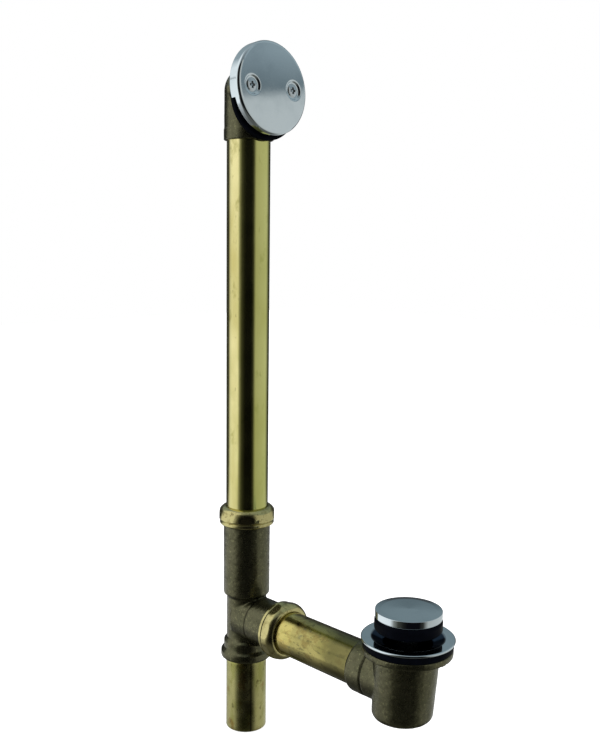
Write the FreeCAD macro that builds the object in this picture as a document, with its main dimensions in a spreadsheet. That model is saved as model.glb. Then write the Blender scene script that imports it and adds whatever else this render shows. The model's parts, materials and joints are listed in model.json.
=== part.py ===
"""Bath waste and overflow with a toe-press stopper, in millimetres.

A brass overflow tube rises from a cast tee to a cast elbow, which holds the round chrome cover
against the tub's end wall. A second tube runs from the tee's branch to the cast drain shoe under
the tub floor. The tailpiece hangs from the tee. The chrome strainer screws into the shoe and
carries the spring cartridge of the stopper.

Frame: +Z up, +X from the tee towards the drain, origin at the centre of the drain seat, on the
top face of the shoe gasket, where the tub floor is clamped.
"""
import FreeCAD, Part
import math
import os
import re

import Sketcher

SIZES = {
    "tube_radius": (19.4, "outside radius of the overflow tube and the waste arm"),
    "tail_radius": (19.05, "outside radius of the tailpiece, a 38.1 mm tube"),
    "spigot_step": (0.45, "how far the tailpiece's upper end is turned down for its socket"),
    "tube_wall": (1.3, "wall of every tube"),
    "solder_gap": (0.05, "gap round a tube in a soldered socket"),
    "slip_gap": (0.25, "gap round a tube in a slip joint"),
    "thread_gap": (0.1, "gap between a drawn-plain male and female thread"),
    "cut_over": (1.0, "how far a cutting tool runs past the face that it cuts"),
    "tee_to_drain": (196.0, "tee axis to drain axis"),
    "arm_drop": (38.4, "drain seat down to the waste arm's axis"),
    "tail_drop": (109.4, "waste arm's axis down to the tailpiece's open end"),
    "overflow_rise": (478.1, "waste arm's axis up to the overflow's centre"),
    "face_tilt": (5.0, "lean of the overflow face, in degrees"),
    "neck_radius": (18.6, "tee between its two sockets"),
    "tee_bore": (16.2, "waterway inside the tee"),
    "hub_radius": (21.5, "tee's upper socket, outside"),
    "hub_step_rise": (23.3, "waste arm's axis up to the socket's lower step"),
    "hub_step": (2.4, "height of the sloping step"),
    "hub_rise": (90.4, "waste arm's axis up to the slip nut's lower face"),
    "hub_socket": (54.4, "depth of the upper socket below the nut"),
    "slip_thread_radius": (22.8, "male thread under a slip nut"),
    "slip_thread_length": (8.6, "length of that thread"),
    "branch_reach": (43.7, "tee axis to the side nut's inner face"),
    "branch_socket_start": (22.0, "tee axis to the bottom of the branch's socket"),
    "flare_radius": (21.2, "tee's lower socket, outside"),
    "flare_drop": (20.2, "waste arm's axis down to the lower socket"),
    "bead_radius": (24.0, "rolled bead at the tee's lower end"),
    "bead_drop": (35.9, "waste arm's axis down to the middle of the bead"),
    "bead_half": (3.0, "half the height of the bead"),
    "bead_round": (1.5, "rounding of the bead's two edges"),
    "tee_end_drop": (40.2, "waste arm's axis down to the tee's lower end"),
    "tee_end_radius": (21.6, "tee's lower end"),
    "tail_socket": (16.3, "depth of the tailpiece's socket"),
    "nut_radius": (26.35, "slip nut at its widest"),
    "nut_flat": (25.5, "slip nut's axis to a flat"),
    "nut_lip_radius": (25.2, "slip nut's lip"),
    "nut_lip": (3.4, "length of the lip"),
    "nut_groove": (0.9, "depth and width of the groove behind the lip"),
    "nut_length": (16.7, "slip nut, end to end"),
    "nut_shoulder": (3.0, "wall of the nut that presses the washer"),
    "nut_crown": (6.0, "rounding of the nut's outer end"),
    "nut_turn": (-20.3, "turn of the upper nut's flats about its own axis, in degrees"),
    "side_nut_turn": (5.0, "the same for the side nut"),
    "washer_gap": (0.1, "play left beside a slip washer"),
    "arm_start": (24.0, "tee axis to the waste arm's end in the branch"),
    "arm_seat": (34.0, "drain axis to the waste arm's end in the shoe"),
    "tube_foot": (3.0, "overflow tube's end above the bottom of its socket"),
    "tube_stop": (32.9, "overflow centre down to the overflow tube's end"),
    "elbow_radius": (21.5, "overflow elbow's barrel, outside"),
    "elbow_bore": (17.3, "overflow elbow's waterway"),
    "elbow_collar_radius": (22.0, "collar at the foot of the elbow"),
    "elbow_collar": (9.5, "height of that collar"),
    "elbow_foot_drop": (39.75, "overflow centre down to the elbow's foot"),
    "elbow_corner_lift": (2.1, "overflow centre up to the elbow's round corner"),
    "face_reach": (16.7, "tube axis to the elbow's face, along the outlet"),
    "face_plate_radius": (29.8, "flange of the elbow"),
    "face_plate": (4.0, "thickness of that flange"),
    "lug_radius": (6.5, "boss for a cover screw"),
    "lug_length": (12.0, "length of that boss"),
    "screw_inset": (16.2, "cover's edge to a cover screw's axis"),
    "screw_radius": (3.0, "cover screw's shank"),
    "screw_head_radius": (6.2, "cover screw's head"),
    "screw_cone": (3.2, "height of the head's cone"),
    "screw_dome": (1.5, "height of the head's dome"),
    "screw_length": (22.0, "cover screw below its head"),
    "screw_point": (0.6, "chamfer round the screw's tip, across"),
    "screw_point_length": (1.0, "length of that chamfer"),
    "screw_crown_radius": (3.4, "head's dome where its top flattens"),
    "screw_crown": (0.4, "height of that flatter top"),
    "cross_length": (6.6, "cross recess, end to end"),
    "cross_width": (1.3, "cross recess, one arm's width"),
    "cross_depth": (1.6, "depth of the cross recess"),
    "overflow_gasket": (4.5, "thickness of the overflow gasket"),
    "overflow_gasket_radius": (36.6, "overflow gasket"),
    "overflow_gasket_drop": (6.6, "overflow centre down to the gasket's centre"),
    "overflow_hole": (18.5, "hole through the overflow gasket"),
    "cover_radius": (39.7, "overflow cover"),
    "cover_depth": (10.8, "overflow cover, front to back"),
    "cover_wall": (1.2, "sheet of the overflow cover"),
    "cover_round": (4.0, "rounding of the cover's front edge"),
    "cover_lip": (6.3, "rim left in front of the overflow slot"),
    "slot_drop": (10.5, "overflow centre down to the ends of the slot"),
    "dimple_radius": (8.6, "dimple round a cover screw"),
    "dimple_floor": (6.6, "flat floor of the dimple"),
    "dimple_depth": (1.6, "depth of the dimple"),
    "screw_play": (0.3, "gap round a cover screw"),
    "flange_radius": (37.9, "chrome drain flange"),
    "flange_edge": (2.0, "thickness of the flange at its edge"),
    "flange_round": (0.8, "rounding of the flange's edge"),
    "dish_radius": (29.8, "outer edge of the flange's dish"),
    "dish_depth": (4.6, "depth of the dish at the throat"),
    "throat_radius": (19.6, "strainer's throat"),
    "strainer_radius": (21.9, "strainer's threaded barrel"),
    "strainer_length": (27.0, "strainer's barrel below the seat"),
    "bar_width": (4.0, "one bar of the strainer's cross"),
    "bar_height": (5.0, "height of the cross"),
    "strainer_hub_radius": (8.5, "hub of the cross"),
    "shoe_gasket": (6.0, "thickness of the shoe gasket"),
    "shoe_gasket_radius": (36.8, "shoe gasket"),
    "shoe_flange_radius": (36.5, "flange of the shoe"),
    "shoe_flange": (5.2, "thickness of that flange"),
    "shoe_top_radius": (26.6, "shoe's body under its flange"),
    "shoe_floor_radius": (24.8, "shoe's body at its foot"),
    "shoe_lean": (4.0, "shift of the shoe's foot towards the tee"),
    "shoe_foot_room": (6.8, "underside of the shoe's neck down to its foot"),
    "shoe_round": (5.0, "rounding of the shoe's foot"),
    "shoe_bowl_radius": (19.9, "bowl inside the shoe"),
    "shoe_floor": (4.0, "thickness of the shoe's floor"),
    "shoe_neck_radius": (22.4, "shoe's side neck"),
    "shoe_neck_reach": (50.0, "drain axis to the end of the neck"),
    "shoe_neck_chamfer": (2.6, "length of the chamfer on the end of the neck"),
    "shoe_neck_taper": (2.1, "depth of that chamfer"),
    "neck_line_reach": (32.0, "drain axis to the scored line round the neck"),
    "neck_line": (0.5, "depth and width of that line"),
    "cartridge_radius": (8.0, "cartridge's barrel"),
    "cartridge_bore": (6.25, "cartridge's bore"),
    "cartridge_floor": (1.5, "wall under the spring"),
    "cartridge_stub_radius": (4.76, "cartridge's screwed stub"),
    "cartridge_stub": (8.0, "length of that stub"),
    "cartridge_washer": (1.0, "washer under the cartridge"),
    "cartridge_depth": (19.5, "depth of the cartridge's bore"),
    "collar_height": (4.0, "collar on top of the cartridge"),
    "running_gap": (0.05, "radial gap of the plunger in its bores"),
    "plunger_shoulder": (5.0, "height of the plunger's shoulder"),
    "plunger_stem_radius": (5.2, "plunger's stem"),
    "plunger_bore": (4.4, "spring's bore up inside the plunger"),
    "plunger_crown": (4.0, "solid top of the plunger"),
    "plunger_stub_radius": (3.0, "plunger's screwed top"),
    "ring_section": (0.6, "section radius of the O-ring"),
    "ring_drop": (2.6, "top of the shoulder down to the O-ring"),
    "spring_radius": (3.5, "spring's mean radius"),
    "spring_wire": (0.55, "spring wire's radius"),
    "spring_turns": (9.0, "turns of the spring"),
    "stroke": (7.5, "travel of the stopper"),
    "cap_radius": (26.94, "stopper cap"),
    "cap_rise": (22.5, "drain flange up to the cap's top, stopper open"),
    "cap_rim": (6.0, "height of the cap's rim"),
    "cap_crown": (0.5, "rise of the cap's middle over its edge"),
    "cap_edge": (0.9, "rounding of the cap's edge"),
    "cap_wall": (2.6, "top wall of the cap"),
    "cap_skirt": (2.0, "rim wall of the cap"),
    "boss_radius": (12.0, "cap's boss, outside"),
    "boss_bore": (9.0, "cap's boss, inside"),
    "seal_radius": (27.4, "seal at its widest"),
    "seal_shoulder": (2.5, "height of the seal's slope under the cap"),
    "seal_tuck": (0.6, "how far the seal is set in under the cap's rim"),
    "seal_round": (1.2, "rounding of the seal's lower edge"),
    "seal_foot_radius": (21.0, "seal at its lower edge"),
    "seal_gap": (0.3, "gap under the seal, stopper shut"),
    "retainer_radius": (18.4, "retaining ring under the seal"),
    "retainer": (1.2, "thickness of that ring"),
}

PLACES = {
    "tee_x": "(-tee_to_drain)",
    "arm_z": "(-arm_drop)",
    "tail_z": "(-arm_drop - tail_drop)",
    "overflow_z": "(overflow_rise - arm_drop)",
    "hub_z": "(hub_rise - arm_drop)",
    "side_nut_x": "(branch_reach - tee_to_drain)",
    "tube_bore": "(tube_radius - tube_wall)",
    "tail_bore": "(tail_radius - tube_wall)",
    "spigot_radius": "(tail_radius - spigot_step)",
    "screw_side": "(cover_radius - screw_inset)",
    "shoe_depth": "(arm_drop + shoe_neck_radius + shoe_foot_room)",
    "cover_back": "(face_reach + overflow_gasket)",
    "cover_face": "(face_reach + overflow_gasket + cover_depth)",
    "dimple_face": "(face_reach + overflow_gasket + cover_depth - dimple_depth)",
    "head_base": "(face_reach + overflow_gasket + cover_depth - dimple_depth - screw_cone)",
    "hub_top": "(bar_height - strainer_length)",
    "spring_foot": "(bar_height - strainer_length + cartridge_washer + cartridge_floor)",
    "collar_base": "(bar_height - strainer_length + cartridge_washer + cartridge_floor + cartridge_depth)",
    "cap_top": "(flange_edge + cap_rise)",
    "cap_low": "(flange_edge + cap_rise - cap_rim)",
    "boss_top": "(flange_edge + cap_rise - cap_wall)",
    "dish_slope": "(dish_depth / (dish_radius - throat_radius))",
    "seal_outer_low": "(flange_edge - (dish_radius - seal_radius) * dish_slope + stroke + seal_gap)",
    "seal_foot": "(flange_edge - (dish_radius - seal_foot_radius) * dish_slope + stroke + seal_gap)",
}

UP = "up"
ALONG_ARM = "along the waste arm"
OUTLET = "out of the overflow face"

document = FreeCAD.newDocument("BathWaste")
sheet = document.addObject("Spreadsheet::Sheet", "Sizes")
for row, (alias, (size, meaning)) in enumerate(SIZES.items(), start=1):
    sheet.set("A%d" % row, meaning)
    sheet.set("B%d" % row, str(size))
    sheet.setAlias("B%d" % row, alias)
document.recompute()


def bound(words):
    """An expression in plain size names, rewritten so that the sheet answers it."""
    while any(re.search(r"\b%s\b" % place, words) for place in PLACES):
        for place, meaning in PLACES.items():
            words = re.sub(r"\b%s\b" % place, meaning, words)
    return re.sub(r"\b(%s)\b" % "|".join(SIZES), r"Sizes.\1", words)


def measure(words):
    """The number that an expression gives now."""
    return float(sheet.evalExpression(bound(words)))


def bind(item, **properties):
    """Ties properties of an object to expressions."""
    for name, words in properties.items():
        item.setExpression(name, bound(words))


def put(item, at=("0", "0", "0"), direction=UP):
    """Places an object: its own Z axis points up, along the arm or out of the overflow face."""
    turn = {UP: 0.0, ALONG_ARM: 90.0, OUTLET: 90.0 - measure("face_tilt")}[direction]
    item.Placement = FreeCAD.Placement(FreeCAD.Vector(), FreeCAD.Rotation(FreeCAD.Vector(0, 1, 0), turn))
    if direction == OUTLET:
        item.setExpression("Placement.Rotation.Angle", bound("90 - face_tilt"))
    for axis, words in zip("xyz", at):
        item.setExpression("Placement.Base." + axis, bound(words))
    return item


def on_outlet(reach, rise="0"):
    """A point on the overflow's plane of symmetry: so far out along its face's normal, and up it."""
    across = "tee_x + (%s) * cos(face_tilt) - (%s) * sin(face_tilt)" % (reach, rise)
    height = "overflow_z + (%s) * sin(face_tilt) + (%s) * cos(face_tilt)" % (reach, rise)
    return across, height


def at_outlet(reach="0", side="0", rise="0"):
    """The same point, moved sideways, as the three coordinates that put() takes."""
    across, height = on_outlet(reach, rise)
    return across, side, height


def profile(body, corners):
    """A closed outline in the body's XZ plane, each corner held by two bound dimensions."""
    sketch = body.newObject("Sketcher::SketchObject", "Profile")
    plane = next(item for item in body.Origin.OriginFeatures if item.Role == "XZ_Plane")
    sketch.AttachmentSupport = [(plane, "")]
    sketch.MapMode = "FlatFace"
    points = [FreeCAD.Vector(measure(out), measure(high), 0) for out, high in corners]
    following = points[1:] + points[:1]
    for start, end in zip(points, following):
        sketch.addGeometry(Part.LineSegment(start, end), False)
    for index in range(len(points)):
        sketch.addConstraint(Sketcher.Constraint("Coincident", index, 2, (index + 1) % len(points), 1))
    for index, (point, words) in enumerate(zip(points, corners)):
        for kind, value, expression in (("DistanceX", point.x, words[0]), ("DistanceY", point.y, words[1])):
            held = sketch.addConstraint(Sketcher.Constraint(kind, -1, 1, index, 1, value))
            sketch.setExpression("Constraints[%d]" % held, bound(expression))
    return sketch


def turned(name, corners, at=("0", "0", "0"), direction=UP, rounds=()):
    """A body turned round its own Z axis, with chosen circular edges rounded."""
    body = document.addObject("PartDesign::Body", name)
    sketch = profile(body, corners)
    feature = body.newObject("PartDesign::Revolution", "Turning")
    feature.Profile = sketch
    feature.ReferenceAxis = (sketch, ["V_Axis"])
    feature.Angle = 360
    document.recompute()
    for radius, height, rounding in rounds:
        wanted = (measure(radius), measure(height))
        edges = []
        for index, edge in enumerate(feature.Shape.Edges, start=1):
            if hasattr(edge.Curve, "Radius") and hasattr(edge.Curve, "Center"):
                found = (edge.Curve.Radius, edge.Curve.Center.z)
                if math.dist(found, wanted) < 1e-4:
                    edges.append("Edge%d" % index)
        fillet = body.newObject("PartDesign::Fillet", "Rounding")
        fillet.Base = (feature, edges)
        bind(fillet, Radius=rounding)
        document.recompute()
        feature = fillet
    return put(body, at, direction)


def cylinder(name, radius, height, at=("0", "0", "0"), direction=UP):
    """A plain cylinder from its foot along its own axis."""
    item = document.addObject("Part::Cylinder", name)
    bind(item, Radius=radius, Height=height)
    return put(item, at, direction)


def ball(name, radius, at):
    """A sphere about a point."""
    item = document.addObject("Part::Sphere", name)
    bind(item, Radius=radius)
    return put(item, at)


def box(name, length, width, height, at, direction=UP):
    """A box from its lowest corner, in its own directions."""
    item = document.addObject("Part::Box", name)
    bind(item, Length=length, Width=width, Height=height)
    return put(item, at, direction)


def joined(name, pieces):
    """One solid out of several that overlap."""
    item = document.addObject("Part::MultiFuse", name)
    item.Shapes = pieces
    item.Refine = True
    return item


def cut(name, blank, tools):
    """A blank with tools taken out of it."""
    tool = tools[0] if len(tools) == 1 else joined(name + "_tools", tools)
    item = document.addObject("Part::Cut", name)
    item.Base = blank
    item.Tool = tool
    item.Refine = True
    return item


def ring(name, outer, inner, height, at, direction=UP):
    """A flat ring turned from stock."""
    corners = [(inner, "0"), (outer, "0"), (outer, height), (inner, height)]
    return turned(name, corners, at, direction)


def make_tube(name, length, at, direction=UP):
    """A length of drawn brass tube."""
    return ring(name, "tube_radius", "tube_bore", length, at, direction)


def make_tailpiece():
    """The tube that carries the water down to the trap, turned down where it enters the tee."""
    free, top = "(tail_drop - tee_end_drop)", "(tail_drop - tee_end_drop + tail_socket)"
    return turned("tailpiece", [
        ("tail_bore", "0"), ("tail_radius", "0"), ("tail_radius", free), ("spigot_radius", free),
        ("spigot_radius", top), ("tail_bore", top),
    ], ("tee_x", "0", "tail_z"))


def make_waste_arm():
    """The tube between the tee's branch and the shoe."""
    return make_tube("waste_arm", "tee_to_drain - arm_start - arm_seat",
                     ("arm_start - tee_to_drain", "0", "arm_z"), ALONG_ARM)


def make_overflow_tube():
    """The tall tube between the tee and the overflow elbow."""
    foot = "(hub_z - hub_socket + tube_foot)"
    return make_tube("overflow_tube", "overflow_z - tube_stop - " + foot, ("tee_x", "0", foot))


def make_tee():
    """The cast tee: two upright sockets, a threaded branch and a rolled bead at its foot."""
    end, thread = "-tee_end_drop", "(hub_rise + slip_thread_length)"
    stem = turned("tee_stem", [
        ("0", end), ("tee_end_radius", end),
        ("bead_radius", "-bead_drop - bead_half"), ("bead_radius", "-bead_drop + bead_half"),
        ("flare_radius", "-bead_drop + bead_half + (bead_radius - flare_radius)"),
        ("flare_radius", "-flare_drop - (flare_radius - neck_radius)"), ("neck_radius", "-flare_drop"),
        ("neck_radius", "hub_step_rise - hub_step"), ("hub_radius", "hub_step_rise"),
        ("hub_radius", "hub_rise"), ("slip_thread_radius", "hub_rise"),
        ("slip_thread_radius", thread), ("0", thread),
    ], ("tee_x", "0", "arm_z"), rounds=[
        ("bead_radius", "-bead_drop - bead_half", "bead_round"),
        ("bead_radius", "-bead_drop + bead_half", "bead_round"),
    ])
    reach = "(branch_reach + slip_thread_length)"
    branch = turned("tee_branch", [
        ("0", "0"), ("hub_radius", "0"), ("hub_radius", "branch_reach"),
        ("slip_thread_radius", "branch_reach"), ("slip_thread_radius", reach), ("0", reach),
    ], ("tee_x", "0", "arm_z"), ALONG_ARM)
    upright = turned("tee_upright_bore", [
        ("0", end + " - cut_over"), ("spigot_radius + solder_gap", end + " - cut_over"),
        ("spigot_radius + solder_gap", end + " + tail_socket"), ("tee_bore", end + " + tail_socket"),
        ("tee_bore", "hub_rise - hub_socket"), ("tube_radius + slip_gap", "hub_rise - hub_socket"),
        ("tube_radius + slip_gap", thread + " + cut_over"), ("0", thread + " + cut_over"),
    ], ("tee_x", "0", "arm_z"))
    sideways = turned("tee_branch_bore", [
        ("0", "0"), ("tee_bore", "0"), ("tee_bore", "branch_socket_start"),
        ("tube_radius + slip_gap", "branch_socket_start"),
        ("tube_radius + slip_gap", reach + " + cut_over"), ("0", reach + " + cut_over"),
    ], ("tee_x", "0", "arm_z"), ALONG_ARM)
    return cut("tee", joined("tee_casting", [stem, branch]), [upright, sideways])


def make_slip_nut(name, at, direction, turn):
    """A domed brass nut with a round lip, and eight flats milled off its widest part."""
    groove_end = "(nut_lip + 2 * nut_groove)"
    inside = "(slip_thread_radius + thread_gap)"
    dome = turned(name + "_blank", [
        (inside, "0"), ("nut_lip_radius", "0"), ("nut_lip_radius", "nut_lip"),
        ("nut_lip_radius - nut_groove", "nut_lip + nut_groove"), ("nut_radius", groove_end),
        ("nut_radius", "nut_length"), ("tube_radius + slip_gap", "nut_length"),
        ("tube_radius + slip_gap", "nut_length - nut_shoulder"), (inside, "nut_length - nut_shoulder"),
    ], at, direction, rounds=[("nut_radius", "nut_length", "nut_crown")])
    prism = document.addObject("Part::Prism", name + "_flats")
    prism.Polygon = 8
    bind(prism, Circumradius="nut_flat / cos(22.5)", Height="nut_length")
    put(prism, at, direction)
    spin = FreeCAD.Rotation(FreeCAD.Vector(0, 0, 1), measure(turn))
    prism.Placement.Rotation = prism.Placement.Rotation * spin
    item = document.addObject("Part::Common", name)
    item.Base = dome
    item.Tool = prism
    item.Refine = True
    return item


def make_slip_washer(name, at, direction):
    """The rubber washer that the slip nut presses round the tube."""
    height = "nut_length - nut_shoulder - slip_thread_length - washer_gap"
    return ring(name, "slip_thread_radius", "tube_radius + solder_gap", height, at, direction)


def make_overflow_elbow():
    """The cast elbow: barrel, round corner, sloping face with a flange and two screw bosses."""
    corner = ("tee_x", "0", "overflow_z + elbow_corner_lift")
    foot = ("tee_x", "0", "overflow_z - elbow_foot_drop")
    barrel = turned("elbow_barrel", [
        ("0", "0"), ("elbow_collar_radius", "0"), ("elbow_collar_radius", "elbow_collar"),
        ("elbow_radius", "elbow_collar + elbow_collar_radius - elbow_radius"),
        ("elbow_radius", "elbow_foot_drop + elbow_corner_lift"),
        ("0", "elbow_foot_drop + elbow_corner_lift"),
    ], foot)
    outlet = turned("elbow_outlet", [
        ("0", "0"), ("elbow_radius", "0"), ("elbow_radius", "face_reach - face_plate"),
        ("face_plate_radius", "face_reach - face_plate"), ("face_plate_radius", "face_reach"),
        ("0", "face_reach"),
    ], at_outlet(), OUTLET)
    pieces = [barrel, ball("elbow_corner", "elbow_radius", corner), outlet]
    tools = []
    for word, side in (("left", "-screw_side"), ("right", "screw_side")):
        pieces.append(cylinder("elbow_lug_" + word, "lug_radius", "lug_length",
                               at_outlet("face_reach - lug_length", side), OUTLET))
        tools.append(cylinder("elbow_tapping_" + word, "screw_radius + thread_gap",
                              "lug_length + 2 * cut_over",
                              at_outlet("face_reach - lug_length - cut_over", side), OUTLET))
    tools.append(cylinder("elbow_socket", "tube_radius + solder_gap",
                          "elbow_foot_drop - tube_stop + cut_over",
                          ("tee_x", "0", "overflow_z - elbow_foot_drop - cut_over")))
    tools.append(cylinder("elbow_rise", "elbow_bore", "tube_stop + elbow_corner_lift + cut_over",
                          ("tee_x", "0", "overflow_z - tube_stop - cut_over")))
    tools.append(ball("elbow_turn", "elbow_bore", corner))
    tools.append(cylinder("elbow_mouth", "elbow_bore", "face_reach + cut_over", at_outlet(), OUTLET))
    tools.append(box("elbow_facing", "4 * cover_radius", "4 * cover_radius", "elbow_radius",
                     at_outlet("face_reach", "-2 * cover_radius", "2 * cover_radius"), OUTLET))
    return cut("overflow_elbow", joined("elbow_casting", pieces), tools)


def make_overflow_gasket():
    """The rubber gasket on the elbow's face, set low so that it seals under the slot."""
    disc = cylinder("overflow_gasket_disc", "overflow_gasket_radius", "overflow_gasket",
                    at_outlet("face_reach", "0", "-overflow_gasket_drop"), OUTLET)
    tools = [cylinder("overflow_gasket_hole", "overflow_hole", "overflow_gasket + 2 * cut_over",
                      at_outlet("face_reach - cut_over"), OUTLET)]
    for word, side in (("left", "-screw_side"), ("right", "screw_side")):
        tools.append(cylinder("overflow_gasket_screw_" + word, "screw_radius + screw_play",
                              "overflow_gasket + 2 * cut_over", at_outlet("face_reach - cut_over", side),
                              OUTLET))
    return cut("overflow_gasket", disc, tools)


def make_overflow_cover():
    """The pressed chrome cover: a shallow cup with two screw dimples, and a slot under its rim."""
    inside = "cover_radius - cover_wall"
    cup = turned("cover_cup", [
        ("0", "cover_face"), ("cover_radius", "cover_face"), ("cover_radius", "cover_back"),
        (inside, "cover_back"), (inside, "cover_face - cover_wall"), ("0", "cover_face - cover_wall"),
    ], at_outlet(), OUTLET, rounds=[
        ("cover_radius", "cover_face", "cover_round"),
        (inside, "cover_face - cover_wall", "cover_round - cover_wall"),
    ])
    pieces, tools = [cup], []
    for word, side in (("left", "-screw_side"), ("right", "screw_side")):
        depth = "(dimple_depth + cover_wall)"
        pieces.append(cylinder("cover_boss_" + word, "dimple_radius + cover_wall", depth,
                               at_outlet("cover_face - " + depth, side), OUTLET))
        tools.append(turned("cover_dimple_" + word, [
            ("0", "head_base - cut_over"), ("screw_radius + screw_play", "head_base - cut_over"),
            ("screw_radius + screw_play", "head_base"),
            ("screw_head_radius + screw_play", "dimple_face"), ("dimple_floor", "dimple_face"),
            ("dimple_radius", "cover_face"), ("dimple_radius", "cover_face + cut_over"),
            ("0", "cover_face + cut_over"),
        ], at_outlet("0", side), OUTLET))
    tools.append(box("cover_slot", "2 * cover_radius", "4 * cover_radius",
                     "cover_depth - cover_lip + cut_over",
                     at_outlet("cover_back - cut_over", "-2 * cover_radius", "-slot_drop"), OUTLET))
    return cut("overflow_faceplate", joined("cover_pressing", pieces), tools)


def make_cover_screw(name, side):
    """An oval-head screw with a cross recess."""
    tip, crown = "(head_base - screw_length)", "(dimple_face + screw_dome)"
    shank = turned(name + "_blank", [
        ("0", tip), ("screw_radius - screw_point", tip), ("screw_radius", tip + " + screw_point_length"),
        ("screw_radius", "head_base"), ("screw_head_radius", "dimple_face"),
        ("screw_crown_radius", crown + " - screw_crown"), ("0", crown),
    ], at_outlet("0", side), OUTLET)
    floor = crown + " - cross_depth"
    upright = box(name + "_recess_upright", "cross_length", "cross_width", "cross_depth + cut_over",
                  at_outlet(floor, side + " - cross_width / 2", "cross_length / 2"), OUTLET)
    level = box(name + "_recess_level", "cross_width", "cross_length", "cross_depth + cut_over",
                at_outlet(floor, side + " - cross_length / 2", "cross_width / 2"), OUTLET)
    return cut(name, shank, [upright, level])


def make_drain_strainer():
    """The chrome drain flange with its dish, threaded barrel and four-armed cross."""
    throat = "flange_edge - dish_depth"
    body = turned("strainer_barrel", [
        ("throat_radius", "-strainer_length"), ("strainer_radius", "-strainer_length"),
        ("strainer_radius", "-(dish_radius - strainer_radius) * dish_slope"), ("dish_radius", "0"),
        ("flange_radius", "0"), ("flange_radius", "flange_edge"),
        ("dish_radius", "flange_edge"), ("throat_radius", throat),
    ], rounds=[("flange_radius", "flange_edge", "flange_round")])
    reach = "(throat_radius + strainer_radius)"
    low = "-strainer_length"
    arms = [
        box("strainer_bar_long", reach, "bar_width", "bar_height",
            ("-%s / 2" % reach, "-bar_width / 2", low)),
        box("strainer_bar_cross", "bar_width", reach, "bar_height",
            ("-bar_width / 2", "-%s / 2" % reach, low)),
        cylinder("strainer_hub", "strainer_hub_radius", "bar_height", ("0", "0", low)),
    ]
    tapping = cylinder("strainer_tapping", "cartridge_stub_radius + solder_gap",
                       "bar_height + 2 * cut_over", ("0", "0", low + " - cut_over"))
    return cut("drain_strainer", joined("strainer_casting", [body] + arms), [tapping])


def make_shoe_gasket():
    """The thick rubber gasket under the tub floor."""
    return ring("shoe_gasket", "shoe_gasket_radius", "dish_radius + slip_gap", "shoe_gasket",
                ("0", "0", "-shoe_gasket"))


def make_drain_shoe():
    """The cast shoe: flange, leaning bowl with a rounded foot, and a side neck for the arm."""
    top, foot = "-shoe_gasket", "-shoe_depth"
    outlines = []
    for word, radius, height, lean in (("top", "shoe_top_radius", top, "0"),
                                       ("foot", "shoe_floor_radius", foot, "-shoe_lean")):
        circle = document.addObject("Part::Circle", "shoe_outline_" + word)
        bind(circle, Radius=radius)
        outlines.append(put(circle, (lean, "0", height)))
    bowl = document.addObject("Part::Loft", "shoe_bowl_loft")
    bowl.Sections = outlines
    bowl.Solid = True
    document.recompute()
    rounded = document.addObject("Part::Fillet", "shoe_bowl")
    rounded.Base = bowl
    rounding = measure("shoe_round")
    rounded.Edges = [(index, rounding, rounding) for index, edge in enumerate(bowl.Shape.Edges, start=1)
                     if abs(edge.BoundBox.ZMax - measure(foot)) < 1e-3]
    flange = cylinder("shoe_rim", "shoe_flange_radius", "shoe_flange", ("0", "0", top + " - shoe_flange"))
    score = "(shoe_neck_reach - neck_line_reach)"
    neck = turned("shoe_neck", [
        ("0", "0"), ("shoe_neck_radius - shoe_neck_taper", "0"),
        ("shoe_neck_radius", "shoe_neck_chamfer"), ("shoe_neck_radius", score + " - neck_line"),
        ("shoe_neck_radius - neck_line", score), ("shoe_neck_radius", score + " + neck_line"),
        ("shoe_neck_radius", "shoe_neck_reach - shoe_lean"), ("0", "shoe_neck_reach - shoe_lean"),
    ], ("-shoe_neck_reach", "0", "arm_z"), ALONG_ARM)
    tools = [
        cylinder("shoe_thread", "strainer_radius + thread_gap",
                 "strainer_length - shoe_gasket + 2 * cut_over",
                 ("0", "0", "-strainer_length - cut_over")),
        cylinder("shoe_bowl_inside", "shoe_bowl_radius", "shoe_depth - shoe_floor - strainer_length",
                 ("-shoe_lean / 2", "0", "shoe_floor - shoe_depth")),
        cylinder("shoe_waterway", "tube_bore", "shoe_neck_reach",
                 ("-shoe_neck_reach", "0", "arm_z"), ALONG_ARM),
        cylinder("shoe_socket", "tube_radius + solder_gap", "shoe_neck_reach - arm_seat + cut_over",
                 ("-shoe_neck_reach - cut_over", "0", "arm_z"), ALONG_ARM),
    ]
    return cut("drain_shoe", joined("shoe_casting", [rounded, flange, neck]), tools)


def make_cartridge():
    """The fixed half of the stopper's works: washer, screwed barrel and its collar."""
    stub, bore = "cartridge_stub_radius", "cartridge_bore"
    barrel_foot = "(hub_top + cartridge_washer)"
    washer = ring("cartridge_washer", "cartridge_radius", stub + " + solder_gap", "cartridge_washer",
                  ("0", "0", "hub_top"))
    barrel = turned("cartridge_body", [
        ("0", barrel_foot + " - cartridge_stub"), (stub, barrel_foot + " - cartridge_stub"),
        (stub, barrel_foot), ("cartridge_radius", barrel_foot), ("cartridge_radius", "collar_base"),
        (bore, "collar_base"), (bore, "spring_foot"), ("0", "spring_foot"),
    ])
    collar = ring("cartridge_collar", "cartridge_radius", "plunger_stem_radius + running_gap",
                  "collar_height", ("0", "0", "collar_base"))
    return [washer, barrel, collar]


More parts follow.
